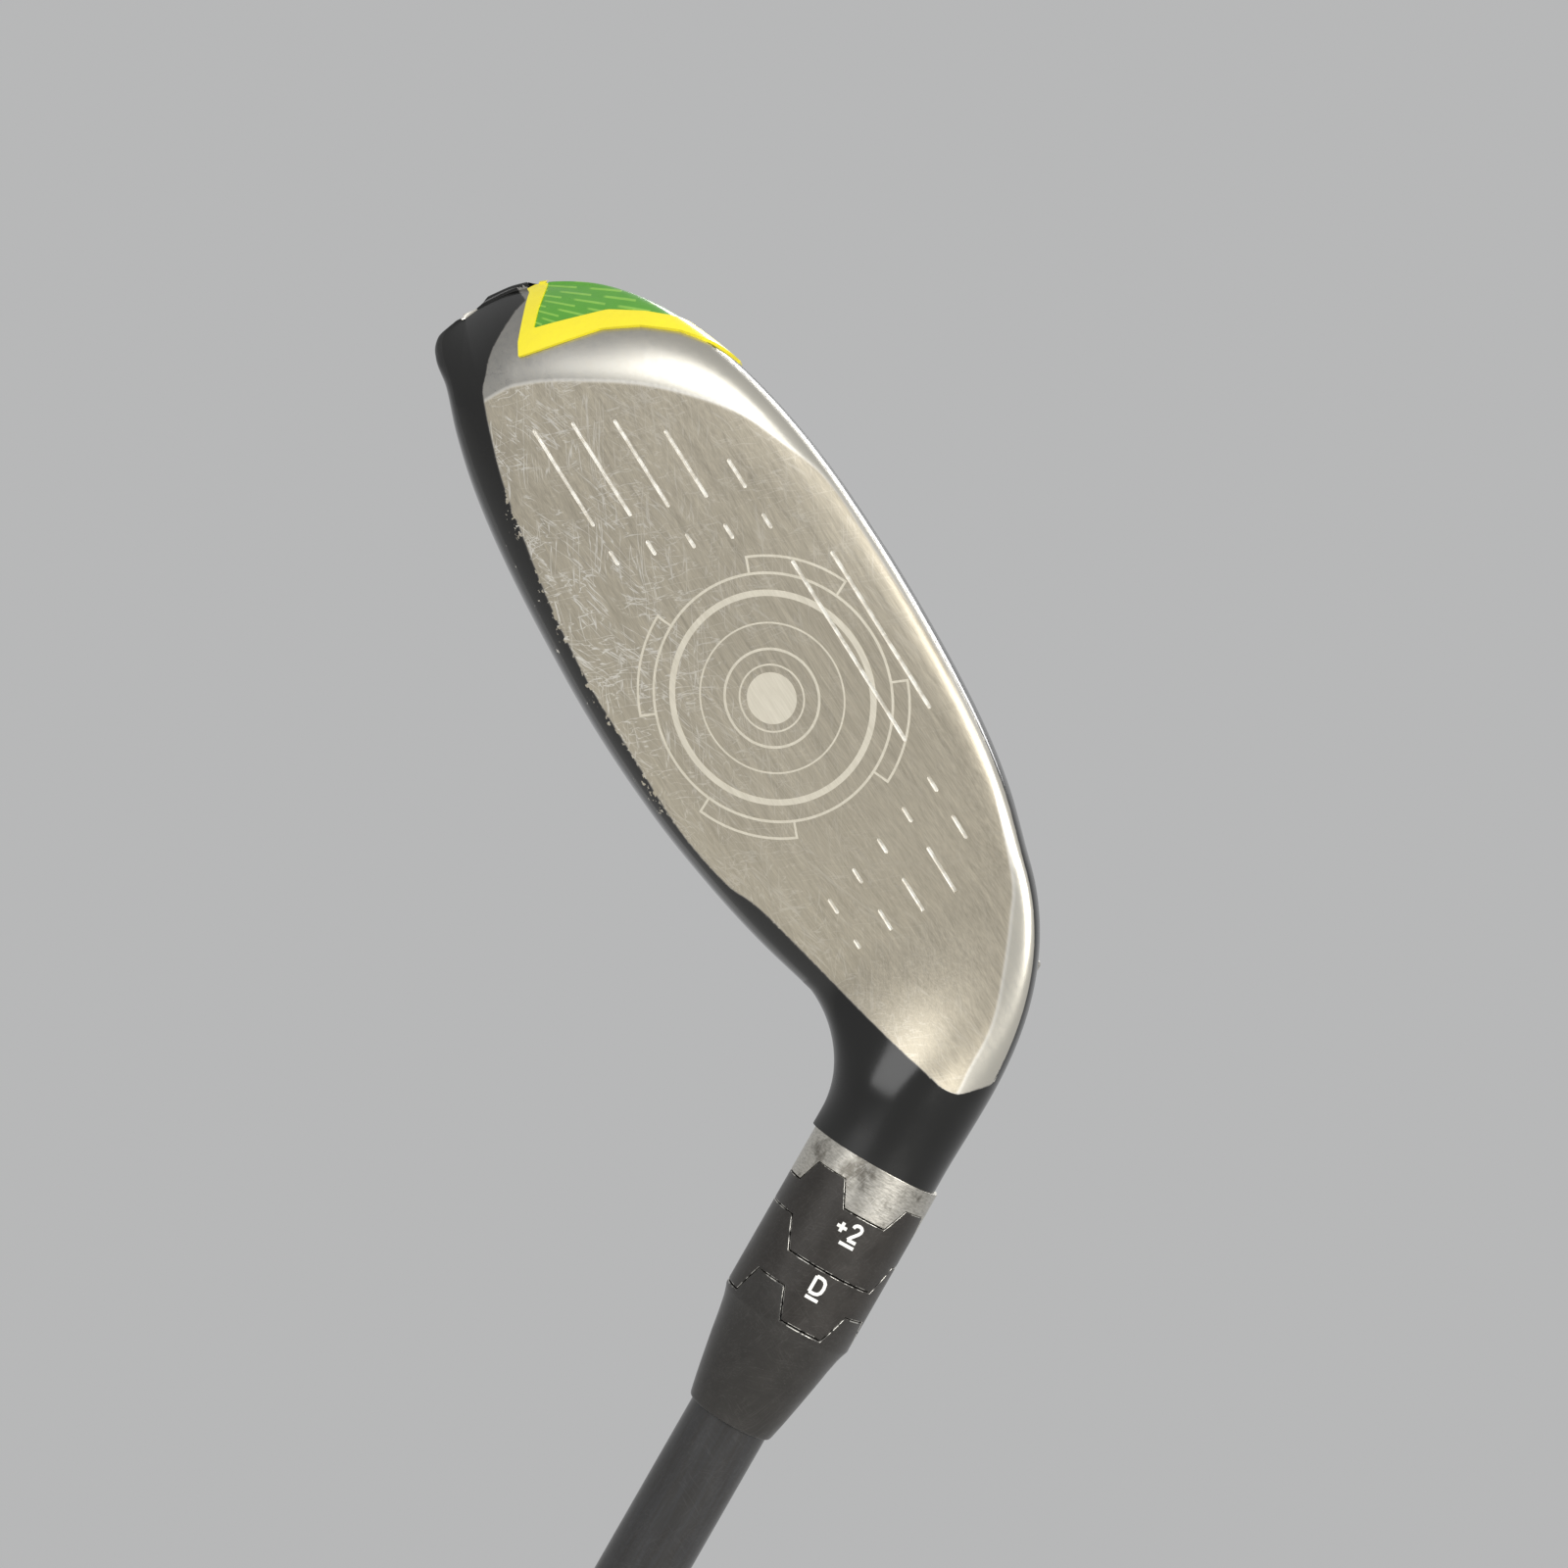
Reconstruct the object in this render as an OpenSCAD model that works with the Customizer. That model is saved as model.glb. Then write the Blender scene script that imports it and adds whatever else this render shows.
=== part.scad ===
// Hybrid golf club with an adjustable hosel, left-handed, standing butt down with its head at the top.
// Z runs up the shaft axis from the butt face. The club face looks towards -Y and the toe towards -X.

/* [Club] */
// Length along the shaft axis from the butt face to the ground plane of the sole
club_len = 1022; // [940:1:1060]
// Angle between the shaft and the ground when the sole lies flat
lie = 62; // [58:0.5:65]
// Backward lean of the face
loft = 22.3; // [19:0.1:26]

/* [Head] */
// Reach of the toe from the middle of the face
toe_reach = 56.4; // [50:0.1:62]
// Height of the crown above the ground at the middle of the face
head_h = 38.6; // [35:0.1:42]
// Depth of the head behind the face
head_depth = 55; // [46:0.5:62]
// Distance that the head is set forward of the shaft axis
head_fwd = 5.5; // [5.4:0.1:6.5]
// Radius of the face's bulge and roll
face_r = 280; // [220:5:400]
// Wall of the steel body
body_t = 1.5; // [1.2:0.1:1.8]
// Wall of the sole
sole_t = 2.3; // [1.8:0.1:2.6]
// Wall of the crown
crown_t = 1.0; // [0.8:0.1:1.4]
// Wall of the face
face_t = 2.2; // [1.8:0.1:2.6]
// Distance between score line rows
score_pitch = 4.4; // [4.1:0.1:4.5]
// Half width of a score line
score_r = 0.34; // [0.25:0.01:0.4]

/* [Hosel] */
// Outside diameter of the hosel, both cogs and the ferrule
hosel_d = 15.6; // [15:0.1:16.4]
// Outside diameter of the adapter sleeve's stem
stem_d = 11; // [10.8:0.1:11.6]
// Radial clearance between the stem and the rings on it
run_gap = 0.05; // [0.03:0.01:0.08]
// Side and end clearance between meshing teeth
tooth_gap = 0.06; // [0.04:0.01:0.1]
// Turn of the teeth and setting marks about the shaft, from the face side towards the heel
mark_turn = 11; // [0:1:20]
// Depth of the teeth between the head and the first cog
head_tooth = 2.8; // [2.2:0.1:2.8]
// Depth of the teeth between the two cogs and under the second cog
cog_tooth = 3.4; // [2.6:0.1:3.4]

/* [Screw] */
// Thread diameter of the adapter screw
screw_d = 5; // [4:0.5:5.5]
// Diameter of the screw's head
screw_head_d = 8.4; // [8:0.1:8.6]

/* [Shaft and grip] */
// Shaft diameter at the tip
tip_d = 9.4; // [9:0.05:9.4]
// Shaft diameter at the butt
butt_d = 15.2; // [14.6:0.1:15.6]
// Wall of the shaft
shaft_t = 1.4; // [1.1:0.1:1.6]
// Length of the grip
grip_len = 267; // [250:1:280]
// Diameter of the grip's butt end
grip_d = 26.4; // [25.6:0.1:27.6]
// Diameter of the grip's mouth
grip_mouth_d = 17.2; // [17:0.1:18.4]

/* [Hidden] */
e = 0.01;
z0 = club_len - 43;              // hosel datum on the shaft axis
x0 = -35.8;                      // middle of the face, from the shaft axis
zc = z0 + 39.7;
sl = sin(lie);
cl = cos(lie);
hr = hosel_d / 2;
sr = stem_d / 2;
br = sr + run_gap;               // bore of every ring that slides on the stem
tr = tip_d / 2;
z_headv = z0 - 2;                // hosel's lower edge between its teeth
z_loftv = z_headv - 6.5;
z_liev = z_loftv - 7;
z_ferr = z0 - 32.3;
z_sleeve = z0 - 24;
z_stem = z0 + 18;                // stem's top end
z_tip = z0 + 6;                  // shaft's tip inside the sleeve
z_web = z0 + 20.6;               // wall that the screw pulls against
z_port = z_web + 2;
z_tube = z0 + 29.2;
pu = -30;                        // pivot of the bend from the head into the hosel
ph = 45.6;
ax = 21.1;                       // shaft axis from that pivot
tl = tan(loft);

// toe-ward place, face bottom, face top, lowest and highest point, depth, height of the rear edge
keys = [
    [55.2, 22.6, 25.6, 22.4, 27.0,  1.6, 24.2], [54.6, 19.8, 27.4, 19.4, 29.6,  6.4, 23.2],
    [52.5, 15.9, 28.8, 15.2, 31.2, 14.0, 21.6], [49.0, 11.8, 30.0, 10.9, 32.0, 22.5, 20.2],
    [44.0,  8.3, 31.4,  7.3, 33.9, 31.5, 18.8], [38.0,  5.5, 32.8,  4.5, 35.6, 39.5, 17.7],
    [30.0,  3.2, 34.2,  2.1, 37.0, 47.0, 16.8], [20.0,  1.7, 35.4,  0.5, 38.0, 52.5, 16.2],
    [ 8.0,  1.2, 36.2,  0.0, 38.6, 55.0, 16.0], [-4.0,  1.5, 36.0,  0.3, 38.2, 53.5, 16.2],
    [-14.0, 2.4, 34.8,  1.1, 37.0, 48.5, 16.8], [-22.0, 3.8, 33.3,  2.5, 35.5, 41.5, 18.0],
    [-30.0, 6.2, 31.6,  4.9, 33.4, 31.5, 20.2]
];
nk = len(keys);
function find_key(u, i = 0) = (i < nk - 2 && u < keys[i + 1][0]) ? find_key(u, i + 1) : i;
function tangent(i) = let(a = keys[max(i - 1, 0)], b = keys[min(i + 1, nk - 1)]) (b - a) / (b[0] - a[0]);
function sized(u) =
    let(i = find_key(u), p = keys[i], q = keys[i + 1], h = q[0] - p[0], t = (u - p[0]) / h)
    (2 * pow(t, 3) - 3 * t * t + 1) * p + (pow(t, 3) - 2 * t * t + t) * h * tangent(i)
    + (3 * t * t - 2 * pow(t, 3)) * q + (pow(t, 3) - t * t) * h * tangent(i + 1);
function face_y(u, h) = -1.5 + tl * (h - 19.6) + (u * u + pow((h - 19.6) / 0.925, 2)) / (2 * face_r);

// sixteen guide points around one section, as [y, height]: face, crown, rear edge, sole
function section(u) =
    let(k = sized(u), kh = head_h / 38.6, lo = k[3], hi = k[4] * kh, hb = k[1], ht = k[2] * kh, hk = k[6],
        ys = face_y(u, hb), yt = face_y(u, ht), yk = (ys + yt) / 2 + k[5] * head_depth / 55, dh = ht - hb)
    concat(
        [for (a = [0.02, 0.25, 0.5, 0.75, 0.985]) [face_y(u, hb + a * dh), hb + a * dh]],
        [[yt + (yk - yt) * 0.05, ht + (hi - ht) * 0.85], [yt + (yk - yt) * 0.22, hi + (hi - ht) * 0.12]],
        [for (a = [[0.52, 0.93], [0.78, 0.56], [0.95, 0.22]]) [yt + (yk - yt) * a[0], hk + (hi - hk) * a[1]]],
        [[yk + (yk - yt) * 0.015, hk]],
        [for (a = [[0.94, 0.55], [0.7, 0.17], [0.42, 0], [0.2, -0.02]])
            [ys + (yk - ys) * a[0], lo + (hk - lo) * a[1]]],
        [[ys + (yk - ys) * 0.045, lo + (hb - lo) * 0.35]]);
ring = let(k = 1 / (2 / 3 + cos(22.5) / 3))
    [for (j = [0:15]) let(a = 180 - (j - 2) * 22.5) [head_fwd + hr * k * cos(a), ph - ax + hr * k * sin(a)]];
function ease(t) = t * t * (3 - 2 * t);
function lift(t) = t * (1 + t - t * t);

// depth turns into the round neck sooner, so that the skin covers the hosel tube,
// and height goes on at the sole's own slope, so that the heel has no kink
function blend(a, eh, ed) = [for (j = [0:15])
    [a[j][0] * (1 - ed) + ring[j][0] * ed, a[j][1] * (1 - eh) + ring[j][1] * eh]];

// a station runs 0..1 along the head, 1..2 round the bend and 2..3 down the hosel
function guide(s) = s <= 1 ? section(55.2 - 85.2 * s)
    : s <= 2 ? blend(section(-30), lift(s - 1), ease(min(1, 1.3 * (s - 1)))) : ring;
function curve(c, v) =
    let(w = v + 16, i = floor(w), t = w - i)
    (pow(1 - t, 3) * c[(i - 1) % 16] + (3 * pow(t, 3) - 6 * t * t + 4) * c[i % 16]
    + (-3 * pow(t, 3) + 3 * t * t + 3 * t + 1) * c[(i + 1) % 16] + pow(t, 3) * c[(i + 2) % 16]) / 6;
function stretch(u) = u > 0 ? u * toe_reach / 55.2 : u;
function to_club(u, y, h) =
    let(w = 19.6 - h) [x0 - sl * u + cl * w, y - head_fwd, zc + cl * u + sl * w];
function spot(s, v) =
    let(c = curve(guide(s), v), u = s <= 1 ? stretch(55.2 - 85.2 * s) : pu,
        f = s <= 1 ? 0 : min(s - 1, 1) * lie, x = s > 2 ? (s - 2) * 1.8 : 0, r = ph - c[1])
    to_club(u - r * sin(f) - x * cos(f), c[0], ph - r * cos(f) + x * sin(f));
function unit(a) = a / norm(a);
function inward(s, v) =
    let(d = 0.004, a = spot(min(s + d, 3), v) - spot(max(s - d, 0), v),
        b = spot(s, v + 0.05) - spot(s, v - 0.05))
    unit(cross(a, b));

// stations and places round the section, with close pairs where two pieces meet at a seam
ss = concat([0, 0.0025, 0.008, 0.015, 0.0225, 0.024, 0.031, 0.0325, 0.05, 0.075, 0.105, 0.14, 0.18],
    [0.22, 0.2215, 0.23, 0.2315, 0.28, 0.335, 0.395, 0.46, 0.53, 0.6, 0.67, 0.74, 0.81, 0.87, 0.92],
    [0.96, 0.9625, 1], [for (i = [1:9]) 1 + i / 9], [3]);
vs = [-1.15, -0.8, -0.5, -0.2, 0.15, 0.6, 1.4, 2.2, 3, 3.5, 3.8, 4.1, 4.4, 4.67, 4.82, 5.2, 5.7, 6.3, 6.9,
    7.5, 8.1, 8.7, 9.3, 9.9, 9.98, 10.4, 10.9, 11.3, 11.36, 11.48, 11.54, 12, 12.5, 13, 13.5, 14, 14.36,
    14.42, 14.54, 14.6, 14.7];
nv = len(vs);
ns = len(ss);
function is_cup(i, j) = i < 28 && j < 13;
function is_crown(i, j) = i < 28 && j > 13 && j < 23;
function in_well(i, j) = i > 4 && i < 16 && j > 27 && j < 39;
function is_badge(i, j) = i > 6 && i < 13 && j > 29 && j < 36;
function is_rim(i, j) = i > 4 && i < 15 && j > 27 && j < 38 && (i == 5 || i == 14 || j == 28 || j == 37);
function is_body(i, j) = i > 28 || (j > 23 && j < nv - 1);

// closed solid from the marked cells of the surface grid, between two depths under the surface
module skin(cells, outer, inner) {
    nrm = [for (s = ss) [for (v = vs) inward(s, v)]];
    pts = [for (i = [0:ns - 1]) for (j = [0:nv - 1]) spot(ss[i], vs[j]) + nrm[i][j] * outer[i][j]];
    pin = [for (i = [0:ns - 1]) for (j = [0:nv - 1]) spot(ss[i], vs[j]) + nrm[i][j] * inner[i][j]];
    m = ns * nv;
    function at(i, j) = i * nv + j % nv;
    function has(i, j) = i >= 0 && i < ns - 1 && cells[i][(j + nv) % nv];
    faces = [for (i = [0:ns - 2]) for (j = [0:nv - 1]) if (cells[i][j])
        let(a = at(i, j), b = at(i + 1, j), c = at(i + 1, j + 1), d = at(i, j + 1))
        each concat([[a, b, c], [a, c, d], [m + a, m + c, m + b], [m + a, m + d, m + c]],
            has(i - 1, j) ? [] : [[a, d, m + d], [a, m + d, m + a]],
            has(i + 1, j) ? [] : [[c, b, m + b], [c, m + b, m + c]],
            has(i, j - 1) ? [] : [[b, a, m + a], [b, m + a, m + b]],
            has(i, j + 1) ? [] : [[d, c, m + c], [d, m + c, m + d]])];
    polyhedron(concat(pts, pin), faces);
}
function grid(f) = [for (i = [0:ns - 1]) [for (j = [0:nv - 1]) f(i, j)]];

module body_shell() {
    skin(grid(function(i, j) is_body(i, j)), grid(function(i, j) in_well(i, j) ? 0.95 : 0),
        grid(function(i, j) i > 30 ? 0.8 : in_well(i, j) ? 2.2 : i < 4 ? 0.15 : i < 5 ? 0.4
            : j < 2 || j > 36 || j < 26 ? 0.65 : j > 29 && i < 29 ? sole_t : body_t));
}

// grip-ward teeth: two bars across the axis for four teeth, one wide bar for two
module tooth_bar(half, depth, grow) {
    rotate([90, 0, 0]) linear_extrude(3 * hosel_d, center = true)
        polygon([[-half - depth * 0.3 - grow - 0.3, grow + 1], [-half - depth * 0.3 - grow, 0],
            [-half + depth * 0.3 - grow, -depth - grow], [half - depth * 0.3 + grow, -depth - grow],
            [half + depth * 0.3 + grow, 0], [half + depth * 0.3 + grow + 0.3, grow + 1]]);
}
module teeth(z, four, depth, grow) {
    translate([0, 0, z]) rotate([0, 0, mark_turn]) {
        tooth_bar(four ? hr * 0.38 : hr * 0.66, depth, grow);
        if (four) rotate([0, 0, 90]) tooth_bar(hr * 0.38, depth, grow);
    }
}
module tube(r_out, r_in, z_low, z_high) {
    translate([0, 0, z_low]) difference() {
        cylinder(h = z_high - z_low, r = r_out);
        translate([0, 0, -1]) cylinder(h = z_high - z_low + 2, r = r_in);
    }
}
// a ring whose own teeth reach down from z_low and whose top is notched for the next piece's teeth
module cog(z_low, z_high, own_four, own_depth, top_four, top_depth) {
    difference() {
        tube(hr, br, z_low - own_depth, z_high);
        teeth(z_high, top_four, top_depth, tooth_gap);
        difference() {
            translate([0, 0, z_low - own_depth - 1]) cylinder(h = own_depth + 1, r = hr + 1);
            teeth(z_low, own_four, own_depth, 0);
        }
    }
}

module grip() {
    color([0.06, 0.06, 0.06]) rotate_extrude($fn = 72)
        polygon([[grip_d / 2 - 1.9, 0.4], [grip_d / 2 - 0.7, 0.4], [grip_d / 2, 1.6], [grip_d / 2, 9],
            [grip_d / 2 - 1.2, 22], [grip_d / 2 - 2.5, grip_len * 0.4],
            [grip_mouth_d / 2 + 0.5, grip_len - 8],
            [grip_mouth_d / 2, grip_len - 1], [grip_mouth_d / 2 - 0.6, grip_len],
            [shaft_r(grip_len) + 0.3, grip_len], [shaft_r(4) + 0.3, 4], [shaft_r(4) + 0.3, 3.8],
            [grip_d / 2 - 1.9, 3.8]]);
}
module grip_cap() {
    color([0.1, 0.1, 0.1]) difference() {
        union() {
            cylinder(h = 3.7, r = grip_d / 2 - 1.95, $fn = 72);
            cylinder(h = 8, r = shaft_r(8) - shaft_t - 0.1, $fn = 72);
        }
        translate([0, 0, -1]) cylinder(h = 12, r = 1.5);
    }
}
function shaft_r(z) = z > z_tip - 90 ? tr : tr + (butt_d / 2 - tr) * (z_tip - 90 - z) / (z_tip - 94);
module grip_tape() {
    color([0.75, 0.72, 0.62]) rotate_extrude($fn = 72)
        polygon([[shaft_r(6) + 0.03, 6], [shaft_r(6) + 0.25, 6], [shaft_r(grip_len - 4) + 0.25, grip_len - 4],
            [shaft_r(grip_len - 4) + 0.03, grip_len - 4]]);
}
module shaft() {
    color([0.12, 0.12, 0.13]) rotate_extrude($fn = 72)
        polygon([[butt_d / 2 - shaft_t, 4], [butt_d / 2, 4], [tr, z_tip - 90], [tr, z_tip],
            [tr - shaft_t, z_tip], [tr - shaft_t, z_tip - 90]]);
}
module tip_plug() {
    color([0.8, 0.75, 0.5]) translate([0, 0, z_tip - 14]) cylinder(h = 12, r = tr - shaft_t - 0.03);
}
module adapter_sleeve() {
    color([0.5, 0.5, 0.52]) difference() {
        translate([0, 0, z_sleeve]) cylinder(h = z_stem - z_sleeve, r = sr);
        translate([0, 0, z_sleeve - 1]) cylinder(h = z_tip + 0.2 - z_sleeve + 1, r = tr + 0.05);
        translate([0, 0, z_tip]) cylinder(h = z_stem - z_tip + 1, r = screw_d / 2 + 0.05);
        translate([0, 0, z_stem - 0.6]) cylinder(h = 0.7, r1 = screw_d / 2 + 0.05, r2 = screw_d / 2 + 0.75);
    }
}
module ferrule() {
    color([0.07, 0.07, 0.07]) difference() {
        rotate_extrude($fn = 72)
            polygon([[tr + 0.05, z_ferr], [tr + 0.45, z_ferr], [tr + 1.35, z_ferr + 4.6],
                [hr - 0.9, z_ferr + 9.2], [hr - 0.15, z_ferr + 12.4], [hr, z_ferr + 12.8], [hr, z_liev],
                [sr + 0.03, z_liev], [sr + 0.03, z_sleeve - 0.1], [tr + 0.05, z_sleeve - 0.1]]);
        teeth(z_liev, true, cog_tooth, tooth_gap);
    }
}
module lie_cog() {
    color([0.08, 0.08, 0.08]) cog(z_liev, z_loftv, true, cog_tooth, false, cog_tooth);
}
module loft_cog() {
    color([0.08, 0.08, 0.08]) cog(z_loftv, z_headv, false, cog_tooth, true, head_tooth);
}
module hosel_tube() {
    color([0.7, 0.68, 0.62]) difference() {
        union() {
            translate([0, 0, z_headv - head_tooth]) cylinder(h = head_tooth + 2.8, r = hr);
            translate([0, 0, z_headv]) cylinder(h = 10, r = hr - 1);
            translate([0, 0, z_headv]) cylinder(h = z_port - z_headv, r = hr - 1.65);
            translate([0, 0, z_port - 1]) cylinder(h = z_tube - z_port + 1, r = screw_head_d / 2 + 0.9);
        }
        translate([0, 0, z_headv - 5]) cylinder(h = z_web - z_headv + 5, r = br);
        translate([0, 0, z_web - 1]) cylinder(h = 4, r = screw_d / 2 + 0.3);
        translate([0, 0, z_port]) cylinder(h = 20, r = screw_head_d / 2 + 0.2);
        difference() {
            translate([0, 0, z_headv - 4]) cylinder(h = 4, r = hr + 1);
            teeth(z_headv, true, head_tooth, 0);
        }
    }
}
module adapter_screw() {
    color([0.3, 0.3, 0.32]) difference() {
        union() {
            translate([0, 0, z_tip + 1.2]) cylinder(h = z_port - z_tip - 1.1, r = screw_d / 2);
            translate([0, 0, z_port + 0.05]) cylinder(h = 4.4, r = screw_head_d / 2);
        }
        translate([0, 0, z_port + 1.6]) cylinder(h = 4, r = 1.55);
        for (a = [0:60:300]) rotate([0, 0, a]) translate([1.65, 0, z_port + 1.6]) cylinder(h = 4, r = 0.45);
    }
}
module screw_retainer() {
    color([0.85, 0.85, 0.8]) tube(br - 0.6, screw_d / 2 + 0.03, z_stem + 0.9, z_stem + 2.4);
}
module head_body() {
    color([0.09, 0.09, 0.09]) resize([0, 0, 0]) difference() {
        body_shell();
        translate([0, 0, z_headv + 2]) cylinder(h = 8.1, r = hr - 0.9);
        translate([0, 0, z_headv + 3]) cylinder(h = z_port - z_headv - 2.9, r = hr - 1.6);
        translate([0, 0, z_port]) cylinder(h = 24, r = screw_head_d / 2 + 0.95);
    }
}
module score(s0, s1, row) {
    t = 7 - score_pitch * row;
    h = 19.6 + 0.925 * t;
    hull() for (s = [s0, s1])
        translate(to_club(stretch(s), face_y(s, h) - 0.02, h)) sphere(r = score_r, $fn = 8);
}
module face_cup() {
    color([0.72, 0.68, 0.6]) difference() {
        skin(grid(function(i, j) is_cup(i, j)), grid(function(i, j) 0),
            grid(function(i, j) i > 7 && j > 5 && j < 10 ? face_t : i < 4 ? 0.15 : i < 7 ? 0.4
                : j < 2 || j > 10 ? 0.65 : 1.1));
        for (k = [0:4]) {
            score([27, 25.6, 24, 22.5, 21][k], [39.5, 37.6, 35.1, 30.9, 24.3][k], k);
            score(22 - 1.5 * k - 0.4, 22 - 1.5 * k + 1, k);
            score(-22.4 + 1.45 * k - 1, -22.4 + 1.45 * k + 0.4, k);
            score([-34.3, -38.4, -37, -31.9, -24.1][k], [-27.7, -26.2, -24.6, -23.1, -21.5][k], k);
        }
        score(-11.6, 11.2, 4);
        score(-10, 9.7, 5);
    }
}
module crown_shell() {
    color([0.05, 0.05, 0.05]) skin(grid(function(i, j) is_crown(i, j)), grid(function(i, j) 0),
        grid(function(i, j) i < 4 ? 0.15 : i < 7 ? 0.4 : j < 16 || j > 21 ? 0.65 : crown_t));
}
module toe_badge() {
    color([0.3, 0.62, 0.14]) skin(grid(function(i, j) is_badge(i, j)), grid(function(i, j) 0.1),
        grid(function(i, j) 0.9));
}
module badge_rim() {
    color([0.98, 0.9, 0.1]) skin(grid(function(i, j) is_rim(i, j)), grid(function(i, j) -0.1),
        grid(function(i, j) 0.9));
}
// a place inside the head, as toe-ward distance, depth and height, with the local axis pointing up
module inside(u, y, h) {
    translate(to_club(u, y, h)) rotate([0, 270 - lie, 0]) children();
}
module post_toe() {
    color([0.6, 0.6, 0.6]) inside(15, 11, 3.4) cylinder(h = 31.4, r = 2.4);
}
module post_heel() {
    color([0.6, 0.6, 0.6]) inside(-15, 11, 4.4) cylinder(h = 28.6, r = 2.4);
}
module inner_weight() {
    color([0.4, 0.4, 0.42]) inside(6, 25, 7) difference() {
        translate([-17, -9, 0]) cube([34, 18, 6]);
        for (m = [-1, 1], n = [-1, 1])
            translate([m * 17, n * 9, 0]) rotate([0, 0, 45]) cube([4, 4, 30], center = true);
    }
}

grip();
grip_cap();
grip_tape();
shaft();
tip_plug();
adapter_sleeve();
ferrule();
lie_cog();
loft_cog();
hosel_tube();
head_body();
face_cup();
crown_shell();
post_toe();
post_heel();
inner_weight();
toe_badge();
badge_rim();
adapter_screw();
screw_retainer();
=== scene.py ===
import math
import bpy
import bmesh
import numpy as np
from mathutils import Matrix, Vector
from mathutils.bvhtree import BVHTree
from mathutils.kdtree import KDTree


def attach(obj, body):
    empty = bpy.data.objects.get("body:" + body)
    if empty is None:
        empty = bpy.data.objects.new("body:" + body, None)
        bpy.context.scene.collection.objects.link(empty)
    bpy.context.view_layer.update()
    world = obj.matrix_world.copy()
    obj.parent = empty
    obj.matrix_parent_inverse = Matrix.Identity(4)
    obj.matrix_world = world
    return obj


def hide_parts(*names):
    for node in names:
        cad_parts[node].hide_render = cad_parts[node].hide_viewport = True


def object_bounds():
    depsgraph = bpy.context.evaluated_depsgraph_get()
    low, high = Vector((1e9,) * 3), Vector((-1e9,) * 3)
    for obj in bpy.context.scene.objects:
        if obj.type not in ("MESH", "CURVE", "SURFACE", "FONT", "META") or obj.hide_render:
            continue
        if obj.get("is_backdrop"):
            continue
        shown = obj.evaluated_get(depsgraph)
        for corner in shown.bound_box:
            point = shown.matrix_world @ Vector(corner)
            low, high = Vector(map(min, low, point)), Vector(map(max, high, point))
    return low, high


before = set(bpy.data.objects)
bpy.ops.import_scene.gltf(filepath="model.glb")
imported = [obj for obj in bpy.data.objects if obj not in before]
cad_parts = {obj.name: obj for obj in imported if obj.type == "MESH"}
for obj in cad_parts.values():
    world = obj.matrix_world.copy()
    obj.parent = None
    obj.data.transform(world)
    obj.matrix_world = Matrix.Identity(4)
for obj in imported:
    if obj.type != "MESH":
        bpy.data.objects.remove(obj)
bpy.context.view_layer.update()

mm = 0.001
scene = bpy.context.scene

# sizes in mm; z runs from the butt to the head
midHeight, rowScale = 19.6, 0.925
club = {"length": 1022.0, "lie": 62.0, "loft": 22.3, "ringX": -35.8, "faceRadius": 280.0, "forward": 5.5}
hosel = {"radius": 7.8, "stem": 5.5, "bore": 5.55, "turn": 11.0, "headTooth": 2.8, "cogTooth": 3.4,
    "gap": 0.07}
z0 = club["length"] - 43.0
zc = z0 + 39.7
sl, cl = math.sin(math.radians(club["lie"])), math.cos(math.radians(club["lie"]))
tl = math.tan(math.radians(club["loft"]))
zHead = z0 - 2.0
zLoft = zHead - 6.5
zLie = zLoft - 7.0
zTip = z0 + 6.0
zStem = z0 + 18.0
zWeb = z0 + 20.6
zPort = zWeb + 2.0
zTube = z0 + 29.2


def toClub(u, y, h):
    w = midHeight - h
    return np.array([club["ringX"] - sl * u + cl * w, y - club["forward"] + 0 * u, zc + cl * u + sl * w])


# toe-ward place, face bottom, face top, lowest and highest point, depth, height of the rear edge
headShape = {
    "keys": np.array([
        [55.2, 22.6, 25.6, 22.4, 27.0, 1.6, 24.2], [54.6, 19.8, 27.4, 19.4, 29.6, 6.4, 23.2],
        [52.5, 15.9, 28.8, 15.2, 31.2, 14.0, 21.6], [49.0, 11.8, 30.0, 10.9, 32.0, 22.5, 20.2],
        [44.0, 8.3, 31.4, 7.3, 33.9, 31.5, 18.8], [38.0, 5.5, 32.8, 4.5, 35.6, 39.5, 17.7],
        [30.0, 3.2, 34.2, 2.1, 37.0, 47.0, 16.8], [20.0, 1.7, 35.4, 0.5, 38.0, 52.5, 16.2],
        [8.0, 1.2, 36.2, 0.0, 38.6, 55.0, 16.0], [-4.0, 1.5, 36.0, 0.3, 38.2, 53.5, 16.2],
        [-14.0, 2.4, 34.8, 1.1, 37.0, 48.5, 16.8], [-22.0, 3.8, 33.3, 2.5, 35.5, 41.5, 18.0],
        [-30.0, 6.2, 31.6, 4.9, 33.4, 31.5, 20.2]]),
    "pivotU": -30.0, "pivotH": 45.6, "axis": 21.1,
    "pivotU": -30.0, "pivotH": 45.6, "axis": 21.1, "stations": 150, "reach": 56.4, "toe": 55.2, "span": 85.2,
}


def sized(u):
    k = headShape["keys"]
    n = len(k)
    i = 0
    while i < n - 2 and u < k[i + 1][0]:
        i += 1

    def tangent(j):
        a, b = k[max(j - 1, 0)], k[min(j + 1, n - 1)]
        return (b - a) / (b[0] - a[0])

    p, q = k[i], k[i + 1]
    h = q[0] - p[0]
    t = (u - p[0]) / h
    return ((2 * t**3 - 3 * t**2 + 1) * p + (t**3 - 2 * t**2 + t) * h * tangent(i)
            + (3 * t**2 - 2 * t**3) * q + (t**3 - t**2) * h * tangent(i + 1))


def faceY(u, h):
    return -1.5 + tl * (h - midHeight) + (u * u
        + ((h - midHeight) / rowScale) ** 2) / (2 * club["faceRadius"])


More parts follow.
